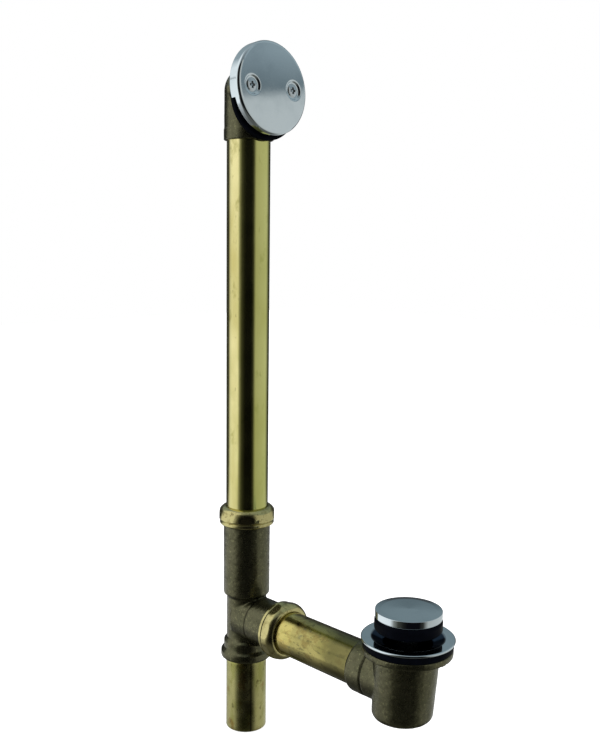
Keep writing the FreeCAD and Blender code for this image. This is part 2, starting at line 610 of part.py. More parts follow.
def make_plunger():
    """The sliding half: a hollow stem with a grooved shoulder, screwed into the cap."""
    top = "(collar_base - running_gap)"
    slide = "cartridge_bore - running_gap"
    groove = "(%s - ring_drop)" % top
    stem, neck = "plunger_stem_radius", "%s - 2 * ring_section" % slide
    return turned("plunger", [
        ("plunger_bore", top + " - plunger_shoulder"), (slide, top + " - plunger_shoulder"),
        (slide, groove + " - ring_section"), (neck, groove + " - ring_section"),
        (neck, groove + " + ring_section"), (slide, groove + " + ring_section"),
        (slide, top), (stem, top), (stem, "boss_top"), ("plunger_stub_radius", "boss_top"),
        ("plunger_stub_radius", "boss_top + cap_wall / 2"), ("0", "boss_top + cap_wall / 2"),
        ("0", "boss_top - plunger_crown"), ("plunger_bore", "boss_top - plunger_crown"),
    ])


def make_plunger_ring():
    """The O-ring that seals the plunger in its bore."""
    item = document.addObject("Part::Torus", "plunger_o_ring")
    bind(item, Radius1="cartridge_bore - running_gap - ring_section", Radius2="ring_section")
    return put(item, ("0", "0", "collar_base - running_gap - ring_drop"))


def make_spring():
    """The coil spring, a wire swept along a helix from the bore's floor to the plunger's crown."""
    wire, radius = measure("spring_wire"), measure("spring_radius")
    foot = measure("spring_foot") + wire
    head = measure("boss_top - plunger_crown") - wire
    helix = Part.makeHelix((head - foot) / measure("spring_turns"), head - foot, radius)
    start = FreeCAD.Vector(radius, 0, 0)
    section = Part.Wire(Part.makeCircle(wire, start, FreeCAD.Vector(0, 1, 0)))
    coil = Part.Wire(helix).makePipeShell([section], True, True)
    item = document.addObject("Part::Feature", "cartridge_spring")
    item.Shape = coil
    item.Placement = FreeCAD.Placement(FreeCAD.Vector(0, 0, foot), FreeCAD.Rotation())
    return item


def make_stopper():
    """The cap, its rubber seal and the ring that holds the seal up."""
    retainer_z = "(seal_foot - retainer)"
    under = "(cap_top - cap_wall)"
    cap = turned("stopper_cap", [
        ("0", "boss_top + cap_wall / 2"), ("plunger_stub_radius + solder_gap", "boss_top + cap_wall / 2"),
        ("plunger_stub_radius + solder_gap", "boss_top"), ("boss_bore", "boss_top"),
        ("boss_bore", retainer_z), ("boss_radius", retainer_z), ("boss_radius", under),
        ("cap_radius - cap_skirt", under), ("cap_radius - cap_skirt", "cap_low"),
        ("cap_radius", "cap_low"), ("cap_radius", "cap_top"), ("0", "cap_top + cap_crown"),
    ], rounds=[("cap_radius", "cap_top", "cap_edge")])
    seal = turned("stopper_seal", [
        ("boss_radius + solder_gap", "seal_foot"), ("seal_foot_radius", "seal_foot"),
        ("seal_radius", "seal_outer_low"), ("seal_radius", "cap_low - seal_shoulder"),
        ("cap_radius - seal_tuck", "cap_low"), ("boss_radius + solder_gap", "cap_low"),
    ], rounds=[("seal_radius", "seal_outer_low", "seal_round")])
    retainer = ring("seal_retainer", "retainer_radius", "boss_radius + solder_gap", "retainer",
                    ("0", "0", retainer_z))
    return [cap, seal, retainer]


pieces = [
    make_overflow_elbow(),
    make_overflow_tube(),
    make_overflow_gasket(),
    make_overflow_cover(),
    make_cover_screw("faceplate_screw_left", "-screw_side"),
    make_cover_screw("faceplate_screw_right", "screw_side"),
    make_slip_nut("top_slip_nut", ("tee_x", "0", "hub_z"), UP, "nut_turn"),
    make_slip_washer("top_slip_washer", ("tee_x", "0", "hub_z + slip_thread_length"), UP),
    make_tee(),
    make_slip_nut("side_slip_nut", ("side_nut_x", "0", "arm_z"), ALONG_ARM, "side_nut_turn"),
    make_slip_washer("side_slip_washer", ("side_nut_x + slip_thread_length", "0", "arm_z"), ALONG_ARM),
    make_tailpiece(),
    make_waste_arm(),
    make_drain_shoe(),
    make_shoe_gasket(),
    make_drain_strainer(),
    make_plunger(),
    make_plunger_ring(),
    make_spring(),
] + make_cartridge() + make_stopper()
for piece in pieces:
    piece.Label = piece.Name
document.recompute()

for item in document.Objects:
    if "Invalid" in item.State or "Error" in item.State:
        raise RuntimeError("%s did not build: %s" % (item.Label, item.State))
for piece in pieces:
    if piece.Shape.isNull() or not piece.Shape.isValid() or len(piece.Shape.Solids) != 1:
        raise RuntimeError("%s is not one valid solid" % piece.Label)

os.makedirs("parts", exist_ok=True)
for piece in pieces:
    piece.Shape.exportStep("parts/%s.step" % piece.Label)
    bounds = piece.Shape.BoundBox
    print("%-22s %9.0f mm3  x %.1f..%.1f  y %.1f..%.1f  z %.1f..%.1f" % (
        piece.Label, piece.Shape.Volume, bounds.XMin, bounds.XMax, bounds.YMin, bounds.YMax,
        bounds.ZMin, bounds.ZMax))
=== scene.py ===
"""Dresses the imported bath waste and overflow: finished surfaces, studio and camera.

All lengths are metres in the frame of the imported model: +Z up, +X from the tee to the drain, and the
origin at the centre of the drain seat.
"""
import json
import logging
import math
from dataclasses import dataclass, field
from enum import Enum
from typing import Callable, Sequence

import bmesh
import bpy
import numpy as np
from mathutils import Matrix, Vector

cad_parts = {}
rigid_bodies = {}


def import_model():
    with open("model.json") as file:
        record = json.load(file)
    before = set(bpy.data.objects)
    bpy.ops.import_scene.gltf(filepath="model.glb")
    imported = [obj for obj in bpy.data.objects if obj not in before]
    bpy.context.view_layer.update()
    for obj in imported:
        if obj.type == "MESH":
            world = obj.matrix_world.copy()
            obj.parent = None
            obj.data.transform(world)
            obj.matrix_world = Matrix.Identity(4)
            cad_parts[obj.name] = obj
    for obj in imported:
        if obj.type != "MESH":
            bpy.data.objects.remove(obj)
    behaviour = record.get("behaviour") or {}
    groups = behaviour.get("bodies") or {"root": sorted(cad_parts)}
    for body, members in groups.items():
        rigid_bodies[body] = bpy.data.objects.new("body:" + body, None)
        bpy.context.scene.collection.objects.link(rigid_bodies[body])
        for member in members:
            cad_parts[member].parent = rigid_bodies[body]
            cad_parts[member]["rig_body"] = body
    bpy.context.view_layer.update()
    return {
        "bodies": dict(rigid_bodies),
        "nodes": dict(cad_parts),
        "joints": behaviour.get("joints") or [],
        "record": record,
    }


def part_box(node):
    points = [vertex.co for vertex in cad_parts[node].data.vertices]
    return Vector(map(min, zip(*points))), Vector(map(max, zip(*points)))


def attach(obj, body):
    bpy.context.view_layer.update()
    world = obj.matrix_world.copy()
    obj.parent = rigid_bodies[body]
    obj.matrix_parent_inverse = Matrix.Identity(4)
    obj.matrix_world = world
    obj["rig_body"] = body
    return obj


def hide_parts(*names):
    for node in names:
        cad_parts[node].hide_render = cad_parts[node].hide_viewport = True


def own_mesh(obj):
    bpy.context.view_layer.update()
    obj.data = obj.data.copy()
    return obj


LOG = logging.getLogger("bath_waste")
MM = 0.001
AT_DRAIN = np.eye(4)
TEE_TO_DRAIN = 196.0 * MM
ARM_DROP = 38.4 * MM
OVERFLOW_HEIGHT = 439.7 * MM
FACE_TILT = math.radians(5.0)
IMAGE_HEIGHT = 756
SMOOTH = {"interpolation_type": "SMOOTHSTEP"}
ZONE_WOBBLE_MM = 9.0
Reshape = Callable[[np.ndarray, np.ndarray, np.ndarray], tuple[np.ndarray, np.ndarray]]


class Axis(Enum):
    """The three directions in which a turned piece of this object lies."""

    UP = "up"
    ALONG_ARM = "along the waste arm"
    OUTLET = "out of the overflow face"


@dataclass
class Surface:
    """A mesh as arrays: corner points, in metres, and faces of three or four corners."""

    points: np.ndarray
    faces: np.ndarray

    def joined_with(self, other: "Surface") -> "Surface":
        """Returns both surfaces as one."""
        return Surface(np.vstack([self.points, other.points]),
                       np.vstack([self.faces, other.faces + len(self.points)]))


def frame_of(axis: Axis, foot: Sequence[float]) -> np.ndarray:
    """Gives the 4 by 4 matrix that stands a piece's own Z axis along one of the object's directions.

    Args:
        axis: the direction of the piece's own Z axis.
        foot: where the piece's own origin goes, in metres.

    Returns:
        The matrix: its third column is the direction, its second stays the object's Y.
    """
    turn = {Axis.UP: 0.0, Axis.ALONG_ARM: math.pi / 2, Axis.OUTLET: math.pi / 2 - FACE_TILT}[axis]
    matrix = np.eye(4)
    matrix[:3, 0] = (math.cos(turn), 0.0, -math.sin(turn))
    matrix[:3, 2] = (math.sin(turn), 0.0, math.cos(turn))
    matrix[:3, 3] = foot
    return matrix


def rounded(corners: Sequence[tuple[float, float, float]], closed: bool, steps: int) -> np.ndarray:
    """Rounds the corners of an outline with tangent arcs.

    Each arc lies on the circle that touches both runs. Where two roundings share a run that is too
    short for both, each takes its share of the run.

    Args:
        corners: (radius from the axis, height, rounding) in millimetres.
        closed: whether the last corner joins the first.
        steps: divisions of each arc.

    Returns:
        The points of the outline, (n, 2), in metres.
    """
    flat = np.array([corner[:2] for corner in corners], float)
    points = []
    for index, (_, _, radius) in enumerate(corners):
        here = flat[index]
        if radius <= 0 or (not closed and index in (0, len(corners) - 1)):
            points.append(here[None, :])
            continue
        before = flat[index - 1] - here
        after = flat[(index + 1) % len(flat)] - here
        before_length, after_length = np.linalg.norm(before), np.linalg.norm(after)
        before, after = before / before_length, after / after_length
        half = 0.5 * math.acos(float(np.clip(before @ after, -1, 1)))
        last_radius, next_radius = corners[index - 1][2], corners[(index + 1) % len(corners)][2]
        reach = min(radius / math.tan(half), 0.99 * before_length * radius / (radius + last_radius),
                    0.99 * after_length * radius / (radius + next_radius))
        radius = reach * math.tan(half)
        bisector = (before + after) / np.linalg.norm(before + after)
        centre = here + bisector * radius / math.sin(half)
        start, end = here + before * reach - centre, here + after * reach - centre
        turn = math.atan2(start[0] * end[1] - start[1] * end[0], float(start @ end))
        angles = np.linspace(0.0, turn, steps + 1)
        points.append(centre + np.stack([
            start[0] * np.cos(angles) - start[1] * np.sin(angles),
            start[0] * np.sin(angles) + start[1] * np.cos(angles)], axis=1))
    return np.vstack(points) * MM


def divided(outline: np.ndarray, longest: float, closed: bool) -> np.ndarray:
    """Splits the long runs of an outline by straight interpolation.

    Args:
        outline: (n, 2) points in metres.
        longest: the longest run that is left.
        closed: whether the last point joins the first.

    Returns:
        The outline with its added points.
    """
    pieces = []
    count = len(outline)
    for index in range(count if closed else count - 1):
        start, end = outline[index], outline[(index + 1) % count]
        parts = max(1, math.ceil(float(np.linalg.norm(end - start)) / longest))
        share = np.arange(parts)[:, None] / parts
        pieces.append(start + (end - start) * share)
    if not closed:
        pieces.append(outline[-1:])
    return np.vstack(pieces)


def turned(corners: Sequence[tuple[float, float, float]], closed: bool, matrix: np.ndarray, *,
           steps: int, longest_mm: float, segments: int = 192,
           reshape: Reshape | None = None) -> Surface:
    """Rounds an outline, turns it round the Z axis and places it.

    A point is (r cos a, r sin a, h), with r and h from the outline and a even round the circle.

    Args:
        corners: (radius from the axis, height, rounding) in millimetres.
        closed: whether the outline is a loop, as for a ring.
        matrix: the 4 by 4 placement.
        steps: divisions of each rounding.
        longest_mm: the longest run of the outline that isn't split.
        segments: divisions round the circle.
        reshape: may change radius and height, as a function of radius, height and angle.

    Returns:
        The surface, one quad for each cell of the grid.
    """
    outline = divided(rounded(corners, closed, steps), longest_mm * MM, closed)
    angle = np.linspace(0.0, 2 * math.pi, segments, endpoint=False)
    radius = np.repeat(outline[:, :1], segments, axis=1)
    height = np.repeat(outline[:, 1:], segments, axis=1)
    turn = np.repeat(angle[None, :], len(outline), axis=0)
    if reshape is not None:
        radius, height = reshape(radius, height, turn)
    local = np.stack([radius * np.cos(turn), radius * np.sin(turn), height,
                      np.ones_like(radius)], axis=-1)
    points = (local.reshape(-1, 4) @ matrix.T)[:, :3]
    rows = len(outline) if closed else len(outline) - 1
    row, column = np.meshgrid(np.arange(rows), np.arange(segments), indexing="ij")
    below, beside = (row + 1) % len(outline), (column + 1) % segments
    faces = np.stack([row * segments + column, row * segments + beside,
                      below * segments + beside, below * segments + column], axis=-1)
    return Surface(points, faces.reshape(-1, 4))


def block(low: Sequence[float], high: Sequence[float]) -> Surface:
    """Makes a box: each of its corners is a choice of low or high on each axis.

    Args:
        low: its lowest corner in millimetres.
        high: its highest corner.

    Returns:
        The box's surface.
    """
    low_point, high_point = np.array(low, float), np.array(high, float)
    pick = np.array([[i, j, k] for i in (0, 1) for j in (0, 1) for k in (0, 1)], float)
    faces = [[0, 1, 3, 2], [4, 6, 7, 5], [0, 4, 5, 1], [2, 3, 7, 6], [0, 2, 6, 4], [1, 5, 7, 3]]
    return Surface((low_point + (high_point - low_point) * pick) * MM, np.array(faces))


def lattice_noise(points: np.ndarray, cell: float, seed: int) -> np.ndarray:
    """Gives smooth noise from -1 to 1: hashed values on a cubic lattice, blended by smoothstep.

    The hash multiplies the corner's whole numbers by large primes and mixes their bits.

    Args:
        points: (n, 3) places in metres.
        cell: the lattice's spacing in metres.
        seed: which of the noises.

    Returns:
        One value for each point.
    """
    scaled = points / cell
    base = np.floor(scaled).astype(np.int64)
    part = scaled - base
    blend = part * part * (3 - 2 * part)
    total = np.zeros(len(points))
    for dx, dy, dz in np.ndindex(2, 2, 2):
        corner = base + (dx, dy, dz)
        mixed = (corner[:, 0] * 73856093) ^ (corner[:, 1] * 19349663) ^ (corner[:, 2] * 83492791)
        mixed = mixed ^ (seed * 2654435)
        value = ((mixed * 1103515245 + 12345) & 0x7FFFFFFF) / 0x7FFFFFFF
        weight = np.where((dx, dy, dz), blend, 1 - blend).prod(axis=1)
        total += weight * value
    return 2 * total - 1


def mesh_object(name: str, surface: Surface, sharp_deg: float = 40.0) -> bpy.types.Object:
    """Puts a surface into a new object with merged poles, outward faces and smooth shading.

    Args:
        name: the piece's name.
        surface: its points and faces.
        sharp_deg: edges that turn more than this stay sharp.

    Returns:
        The new object, linked to the scene at the origin.
    """
    mesh = bpy.data.meshes.new(name)
    mesh.from_pydata(surface.points.tolist(), [], surface.faces.tolist())
    shape = bmesh.new()
    shape.from_mesh(mesh)
    bmesh.ops.remove_doubles(shape, verts=shape.verts, dist=1e-7)
    bmesh.ops.dissolve_degenerate(shape, edges=shape.edges, dist=1e-8)
    bmesh.ops.recalc_face_normals(shape, faces=shape.faces)
    shape.to_mesh(mesh)
    shape.free()
    mesh.shade_smooth()
    mesh.set_sharp_from_angle(angle=math.radians(sharp_deg))
    piece = bpy.data.objects.new(name, mesh)
    bpy.context.scene.collection.objects.link(piece)
    return piece


def settled(piece: bpy.types.Object) -> bpy.types.Object:
    """Applies a piece's modifiers to its mesh.

    Args:
        piece: the piece.

    Returns:
        The same piece.
    """
    bpy.context.view_layer.update()
    graph = bpy.context.evaluated_depsgraph_get()
    mesh = bpy.data.meshes.new_from_object(piece.evaluated_get(graph))
    piece.modifiers.clear()
    piece.data = mesh
    return piece


def linear(hex_colour: str) -> tuple[float, float, float, float]:
    """Turns an sRGB colour into linear light: a straight line below 0.04045, a 2.4 power above.

    Args:
        hex_colour: the colour as "#rrggbb".

    Returns:
        Red, green, blue and alpha.
    """
    parts = [int(hex_colour[i:i + 2], 16) / 255 for i in (1, 3, 5)]
    light = [v / 12.92 if v <= 0.04045 else ((v + 0.055) / 1.055) ** 2.4 for v in parts]
    return light[0], light[1], light[2], 1.0


def add_node(tree: bpy.types.NodeTree, kind: str, inputs: dict | None = None,
             output: int | str = 0, stops: Sequence[tuple[float, str]] = (),
             **settings: object) -> bpy.types.NodeSocket | None:
    """Adds a node with its settings, and sets or links its inputs.

    Args:
        tree: the node tree.
        kind: the node's type name after "ShaderNode".
        inputs: socket name or number to a value or to another node's output.
        output: name or number of the output that is wanted.
        stops: places and hex colours of a colour ramp.
        settings: the node's own properties.

    Returns:
        The wanted output, or None where the node has none.
    """
    node = tree.nodes.new("ShaderNode" + kind)
    for name, value in settings.items():
        setattr(node, name, value)
    for key, value in (inputs or {}).items():
        if isinstance(value, bpy.types.NodeSocket):
            tree.links.new(value, node.inputs[key])
        else:
            node.inputs[key].default_value = value
    if stops:
        ramp = node.color_ramp
        while len(ramp.elements) < len(stops):
            ramp.elements.new(0.5)
        for element, (place, colour) in zip(ramp.elements, stops):
            element.position = place
            element.color = linear(colour)
    return node.outputs[output] if node.outputs else None


def tinted(tree: bpy.types.NodeTree, colour: bpy.types.NodeSocket | Sequence[float], tint: str,
           factor: bpy.types.NodeSocket) -> bpy.types.NodeSocket:
    """Mixes a tint over a colour by a factor, and returns the result's socket."""
    return add_node(tree, "Mix", {0: factor, 6: colour, 7: linear(tint)}, 2, data_type="RGBA")


@dataclass(frozen=True)
class Span:
    """A stretch of a value, and what its two ends are turned into."""

    start: float
    end: float
    at_start: float = 0.0
    at_end: float = 1.0

    def of(self, value: bpy.types.NodeSocket) -> dict:
        """Gives a Map Range node's inputs for a value."""
        return {0: value, 1: self.start, 2: self.end, 3: self.at_start, 4: self.at_end}


@dataclass(frozen=True)
class Patch:
    """Discoloration: noise of one real scale, shown where it rises over a threshold.

    Attributes:
        colour: sRGB hex of the patch.
        size_mm: how large the patches are.
        low: noise value where a patch starts.
        high: noise value where it is full.
        share: how much of the colour shows there.
        stretch: the patches' length along X, Y and Z against size_mm.
    """

    colour: str
    size_mm: float
    low: float
    high: float
    share: float = 1.0
    stretch: tuple[float, float, float] = (1.0, 1.0, 1.0)


@dataclass(frozen=True)
class Zone:
    """A stretch of the object, along one axis, that has its own tint.

    Attributes:
        axis: "X", "Y" or "Z".
        start_mm: where the tint starts.
        end_mm: where it ends.
        fade_mm: over what length it comes in and goes out.
        colour: sRGB hex of the tint.
        share: how much of it shows.
    """

    axis: str
    start_mm: float
    end_mm: float
    fade_mm: float
    colour: str
    share: float


@dataclass(frozen=True)
class Finish:
    """A surface finish, built as one Principled material.

    Attributes:
        name: the material's common name and how its surface was made.
        colour: sRGB hex of the clean surface.
        metallic: 1 for bare or plated metal, 0 for rubber, between for a cast skin with oxide.
        roughness: of the clean surface.
        roughness_spread: how much the noise adds to it or takes away.
        spread_mm: the scale of that noise.
        patches: its discolorations, painted in order.
        zones: its tinted stretches.
        grain_mm: the scale of the bump, 0 for none.
        grain_depth_mm: how deep the bump is.
        grain_stretch: the bump's length along X, Y and Z.
        specular: strength of the shine of a surface that isn't metal.
        dirt_and_shade_colour: sRGB hex of marked dark lines and painted shade in recesses and the
            drain's dish.
    """

    name: str
    colour: str
    metallic: float
    roughness: float
    roughness_spread: float = 0.0
    spread_mm: float = 12.0
    patches: tuple[Patch, ...] = ()
    zones: tuple[Zone, ...] = ()
    grain_mm: float = 0.0
    grain_depth_mm: float = 0.05
    grain_stretch: tuple[float, float, float] = (1.0, 1.0, 1.0)
    specular: float = 0.5
    dirt_and_shade_colour: str = ""

    def noise(self, tree: bpy.types.NodeTree, place: bpy.types.NodeSocket, size_mm: float,
              stretch: tuple[float, float, float], detail: float = 3.0) -> bpy.types.NodeSocket:
        """Adds noise whose cells are size_mm long, times the stretch on each axis.

        Args:
            tree: the material's nodes.
            place: Object coordinates, in metres.
            size_mm: the length of a cell.
            stretch: how much longer it is along X, Y and Z.
            detail: octaves of finer noise.

        Returns:
            The noise's value, about 0.5 on the whole.
        """
        scale = [1.0 / (size_mm * MM * part) for part in stretch]
        mapped = add_node(tree, "Mapping", {"Vector": place, "Scale": scale})
        return add_node(tree, "TexNoise", {
            "Vector": mapped, "Scale": 1.0, "Detail": detail, "Roughness": 0.55})

    def painted(self, tree: bpy.types.NodeTree, place: bpy.types.NodeSocket) -> bpy.types.NodeSocket:
        """Paints the patches and then the zones over the clean colour.

        Args:
            tree: the material's nodes.
            place: Object coordinates, in metres.

        Returns:
            The colour.
        """
        colour = linear(self.colour)
        for patch in self.patches:
            noise = self.noise(tree, place, patch.size_mm, patch.stretch)
            shown = Span(patch.low, patch.high, 0.0, patch.share)
            factor = add_node(tree, "MapRange", shown.of(noise), **SMOOTH)
            colour = tinted(tree, colour, patch.colour, factor)
        for zone in self.zones:
            start, end, fade = zone.start_mm * MM, zone.end_mm * MM, zone.fade_mm * MM
            along = add_node(tree, "SeparateXYZ", {0: place}, zone.axis)
            wobble = self.noise(tree, place, ZONE_WOBBLE_MM, (1, 1, 1))
            shifted = add_node(tree, "Math", {0: wobble, 1: fade, 2: along},
                               operation="MULTIPLY_ADD")
            rise, fall = (add_node(tree, "MapRange", span.of(shifted), **SMOOTH) for span in (
                Span(start, start + fade, 0.0, zone.share), Span(end, end + fade, 1.0, 0.0)))
            both = add_node(tree, "Math", {0: rise, 1: fall}, operation="MULTIPLY")
            colour = tinted(tree, colour, zone.colour, both)
        return colour

    def material(self) -> bpy.types.Material:
        """Builds the material.

        Returns:
            The material, with colour, roughness and bump worked out from Object coordinates.
        """
        material = bpy.data.materials.new(self.name)
        material.use_nodes = True
        tree = material.node_tree
        shader = tree.nodes["Principled BSDF"]
        place = add_node(tree, "TexCoord", output="Object")
        colour = self.painted(tree, place)
        # Dark lines and painted shade: where the mesh marks them, the colour is darkened and the
        # shine's tint dimmed.
        if self.dirt_and_shade_colour:
            dirt_and_shade = add_node(tree, "Attribute", output="Fac", attribute_name="dirt_and_shade")
            colour = tinted(tree, colour, self.dirt_and_shade_colour, dirt_and_shade)
            edge = tinted(tree, linear("#ffffff"), "#b4b4b4", dirt_and_shade)
            tree.links.new(edge, shader.inputs["Specular Tint"])
        tree.links.new(colour, shader.inputs["Base Color"])
        shader.inputs["Metallic"].default_value = self.metallic
        if self.metallic == 0:
            shader.inputs["Specular IOR Level"].default_value = self.specular
        shader.inputs["Roughness"].default_value = self.roughness
        if self.roughness_spread:
            noise = self.noise(tree, place, self.spread_mm, (1, 1, 1))
            low = max(0.0, self.roughness - self.roughness_spread)
            span = Span(0.3, 0.7, low, self.roughness + self.roughness_spread)
            rough = add_node(tree, "MapRange", span.of(noise))
            tree.links.new(rough, shader.inputs["Roughness"])
        if self.grain_mm:
            noise = self.noise(tree, place, self.grain_mm, self.grain_stretch, 4.0)
            bump = add_node(tree, "Bump", {
                "Height": noise, "Distance": self.grain_depth_mm * MM, "Strength": 1.0})
            tree.links.new(bump, shader.inputs["Normal"])
        return material


# Drawn brass tube: bright yellow metal, pulled lengthwise through a die, tarnished in spots.
DRAWN_BRASS = Finish(
    "drawn_brass_tube", "#ece3a4", 1.0, 0.12, 0.04, 22.0,
    patches=(
        Patch("#b4ad62", 60.0, 0.44, 0.64, 0.45, (1, 1, 1.8)),
        Patch("#c3b568", 30.0, 0.46, 0.70, 0.55, (1, 1, 3.0)),
        Patch("#8f8a3c", 12.0, 0.58, 0.74, 0.50, (1, 1, 1.6)),
        Patch("#5d4f22", 4.5, 0.62, 0.78, 0.55, (1, 1, 2.2)),
    ),
    zones=(
        Zone("Z", -20.0, 170.0, 60.0, "#b3b368", 0.30),
        Zone("X", -187.0, -160.0, 7.0, "#c4cb70", 0.60),
    ),
    grain_mm=1.2, grain_depth_mm=0.010, grain_stretch=(1, 1, 14),
)
# The same tube below the tee: greener, with brown water marks and the line of its weld.
TAIL_BRASS = Finish(
    "drawn_brass_tailpiece", "#bdb97c", 1.0, 0.26, 0.06, 14.0,
    patches=(
        Patch("#97994f", 16.0, 0.46, 0.64, 0.75, (1, 1, 2.2)),
        Patch("#8f6a2c", 9.0, 0.56, 0.70, 0.60, (1, 1, 1.5)),
        Patch("#4c4420", 4.0, 0.60, 0.74, 0.65, (1, 1, 1.8)),
    ),
    grain_mm=1.2, grain_depth_mm=0.012, grain_stretch=(1, 1, 14), dirt_and_shade_colour="#2a2414",
)
# The waste arm: bright where the nut was polished, heat-tinted and scuffed towards the shoe.
ARM_BRASS = Finish(
    "drawn_brass_waste_arm", "#c9bd74", 1.0, 0.18, 0.05, 12.0,
    patches=(
        Patch("#9a9450", 15.0, 0.44, 0.62, 0.75, (2.0, 1, 1)),
        Patch("#8c6a30", 8.0, 0.50, 0.64, 0.65, (1.3, 1, 1)),
        Patch("#4a4326", 3.6, 0.54, 0.68, 0.75, (1.8, 1, 1)),
        Patch("#5d625c", 7.0, 0.60, 0.68, 0.55, (1.6, 1, 1)),
    ),
    zones=(
        Zone("X", -116.0, -40.0, 14.0, "#8f8a58", 0.50),
        Zone("X", -76.0, -44.0, 18.0, "#67643f", 0.75),
        Zone("X", -140.0, -118.0, 4.0, "#ddd07e", 0.40),
    ),
    grain_mm=1.3, grain_depth_mm=0.014, grain_stretch=(10, 1, 1),
)
# Turned brass: the slip nuts, paler metal with fine tool marks and stained hollows.
TURNED_BRASS = Finish(
    "turned_brass_nut", "#c9c187", 1.0, 0.19, 0.06, 6.0,
    patches=(
        Patch("#9f945e", 6.0, 0.50, 0.68, 0.65),
        Patch("#6b5a30", 3.2, 0.58, 0.72, 0.65),
        Patch("#3b341e", 1.8, 0.62, 0.76, 0.60),
    ),
    grain_mm=0.9, grain_depth_mm=0.016,
)
# The stopper's works: the same turned brass under a thin plate, with painted shade darkening the
# colour, for they sit under the seal.
SHADED_PLATED_BRASS = Finish(
    "plated_turned_brass", "#8f989c", 1.0, 0.22, 0.05, 5.0,
    patches=(Patch("#5d6468", 4.0, 0.50, 0.70, 0.6),), grain_mm=0.8, grain_depth_mm=0.008,
)
# Sand-cast brass: an olive grey skin of oxide over metal, grainy from the mould.
CAST_BRASS = Finish(
    "sand_cast_brass", "#64634c", 0.97, 0.28, 0.05, 5.0,
    patches=(
        Patch("#565741", 14.0, 0.46, 0.66, 0.60),
        Patch("#464433", 4.0, 0.50, 0.70, 0.55),
        Patch("#96956f", 2.0, 0.54, 0.72, 0.60),
        Patch("#2e2c23", 1.6, 0.58, 0.76, 0.60),
    ),
    grain_mm=1.0, grain_depth_mm=0.07, dirt_and_shade_colour="#26241a",
)
# Chrome plate on brass: hard mirror metal with a slightly blue cast and faint wiping marks.
CHROME = Finish(
    "polished_chrome_plate", "#d9e5ea", 1.0, 0.06, 0.02, 16.0,
    patches=(Patch("#bccad0", 30.0, 0.45, 0.70, 0.35),),
    grain_mm=5.0, grain_depth_mm=0.004,
)
# The same plate on the drain's flange, with painted shade darkening its dish, where the seal shades
# it.
DRAIN_CHROME = Finish(
    "polished_chrome_drain", "#d9e5ea", 1.0, 0.07, 0.02, 16.0,
    patches=(Patch("#bccad0", 30.0, 0.45, 0.70, 0.35),),
    grain_mm=5.0, grain_depth_mm=0.004, dirt_and_shade_colour="#3a4656",
)
# The screws have the same plate over rougher steel, with painted shade in the cross of each head.
CHROME_SCREW = Finish(
    "chrome_plated_screw", "#c6d0d5", 1.0, 0.14, 0.04, 3.0,
    patches=(Patch("#8c979d", 2.0, 0.55, 0.75, 0.5),),
    grain_mm=0.8, grain_depth_mm=0.008, dirt_and_shade_colour="#20262a",
)
# Moulded rubber: black, with a dull bloom.
RUBBER = Finish(
    "moulded_black_rubber", "#05070d", 0.0, 0.40, 0.08, 6.0,
    patches=(Patch("#090c16", 8.0, 0.45, 0.70, 0.6), Patch("#101218", 1.2, 0.70, 0.80, 0.30)),
    grain_mm=0.7, grain_depth_mm=0.02, specular=0.02,
)
# Washer rubber: a little greyer than the gaskets.
WASHER_RUBBER = Finish(
    "moulded_washer_rubber", "#131314", 0.0, 0.55, 0.06, 4.0,
    patches=(Patch("#1f1f1f", 4.0, 0.45, 0.70, 0.6),), grain_mm=0.6, grain_depth_mm=0.03, specular=0.2,
)
# Drawn stainless wire and strip: grey, with lines of the die.
SPRING_STEEL = Finish(
    "drawn_spring_steel", "#a9aaac", 1.0, 0.26, 0.05, 3.0,
    patches=(Patch("#7f8082", 3.0, 0.5, 0.7, 0.5),), grain_mm=0.5, grain_depth_mm=0.006,
)


@dataclass
class Workshop:
    """Makes each material once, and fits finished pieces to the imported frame.

    Attributes:
        materials: the materials made so far, by finish name.
    """

    frame: dict
    materials: dict[str, bpy.types.Material] = field(default_factory=dict)

    def material(self, finish: Finish) -> bpy.types.Material:
        """Builds a finish's material when it is first asked for.

        Args:
            finish: the finish.

        Returns:
            Its material.
        """
        if finish.name not in self.materials:
            self.materials[finish.name] = finish.material()
        return self.materials[finish.name]

    def fit(self, piece: bpy.types.Object, node: str, finish: Finish) -> bpy.types.Object:
        """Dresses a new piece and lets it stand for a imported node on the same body.

        Args:
            piece: the finished piece.
            node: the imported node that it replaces.
            finish: its surface.

        Returns:
            The piece.
        """
        piece.data.materials.clear()
        piece.data.materials.append(self.material(finish))
        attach(piece, self.frame["nodes"][node]["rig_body"])
        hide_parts(node)
        LOG.info("%s stands for %s", piece.name, node)
        return piece

    def dress(self, node: str, finish: Finish) -> None:
        """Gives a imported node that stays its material.

        Args:
            node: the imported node.
            finish: its surface.
        """
        mesh = self.frame["nodes"][node].data
        mesh.materials.clear()
        mesh.materials.append(self.material(finish))
        LOG.info("%s keeps its packed shape", node)


def merged_copy(workshop: Workshop, node: str, name: str) -> bpy.types.Object:
    """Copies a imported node's mesh into a new object, with its loose triangles merged.

    Args:
        workshop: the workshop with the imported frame.
        node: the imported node.
        name: the new object's name.

    Returns:
        The new object.
    """
    mesh = workshop.frame["nodes"][node].data.copy()
    shape = bmesh.new()
    shape.from_mesh(mesh)
    bmesh.ops.remove_doubles(shape, verts=shape.verts, dist=1e-6)
    shape.to_mesh(mesh)
    shape.free()
    piece = bpy.data.objects.new(name, mesh)
    bpy.context.scene.collection.objects.link(piece)
    return piece


def vertex_points(mesh: bpy.types.Mesh) -> np.ndarray:
    """Reads where a mesh's vertices are.

    Args:
        mesh: the mesh.

    Returns:
        Their places in metres, (n, 3).
    """
    points = np.zeros(len(mesh.vertices) * 3)
    mesh.vertices.foreach_get("co", points)
    return points.reshape(-1, 3)


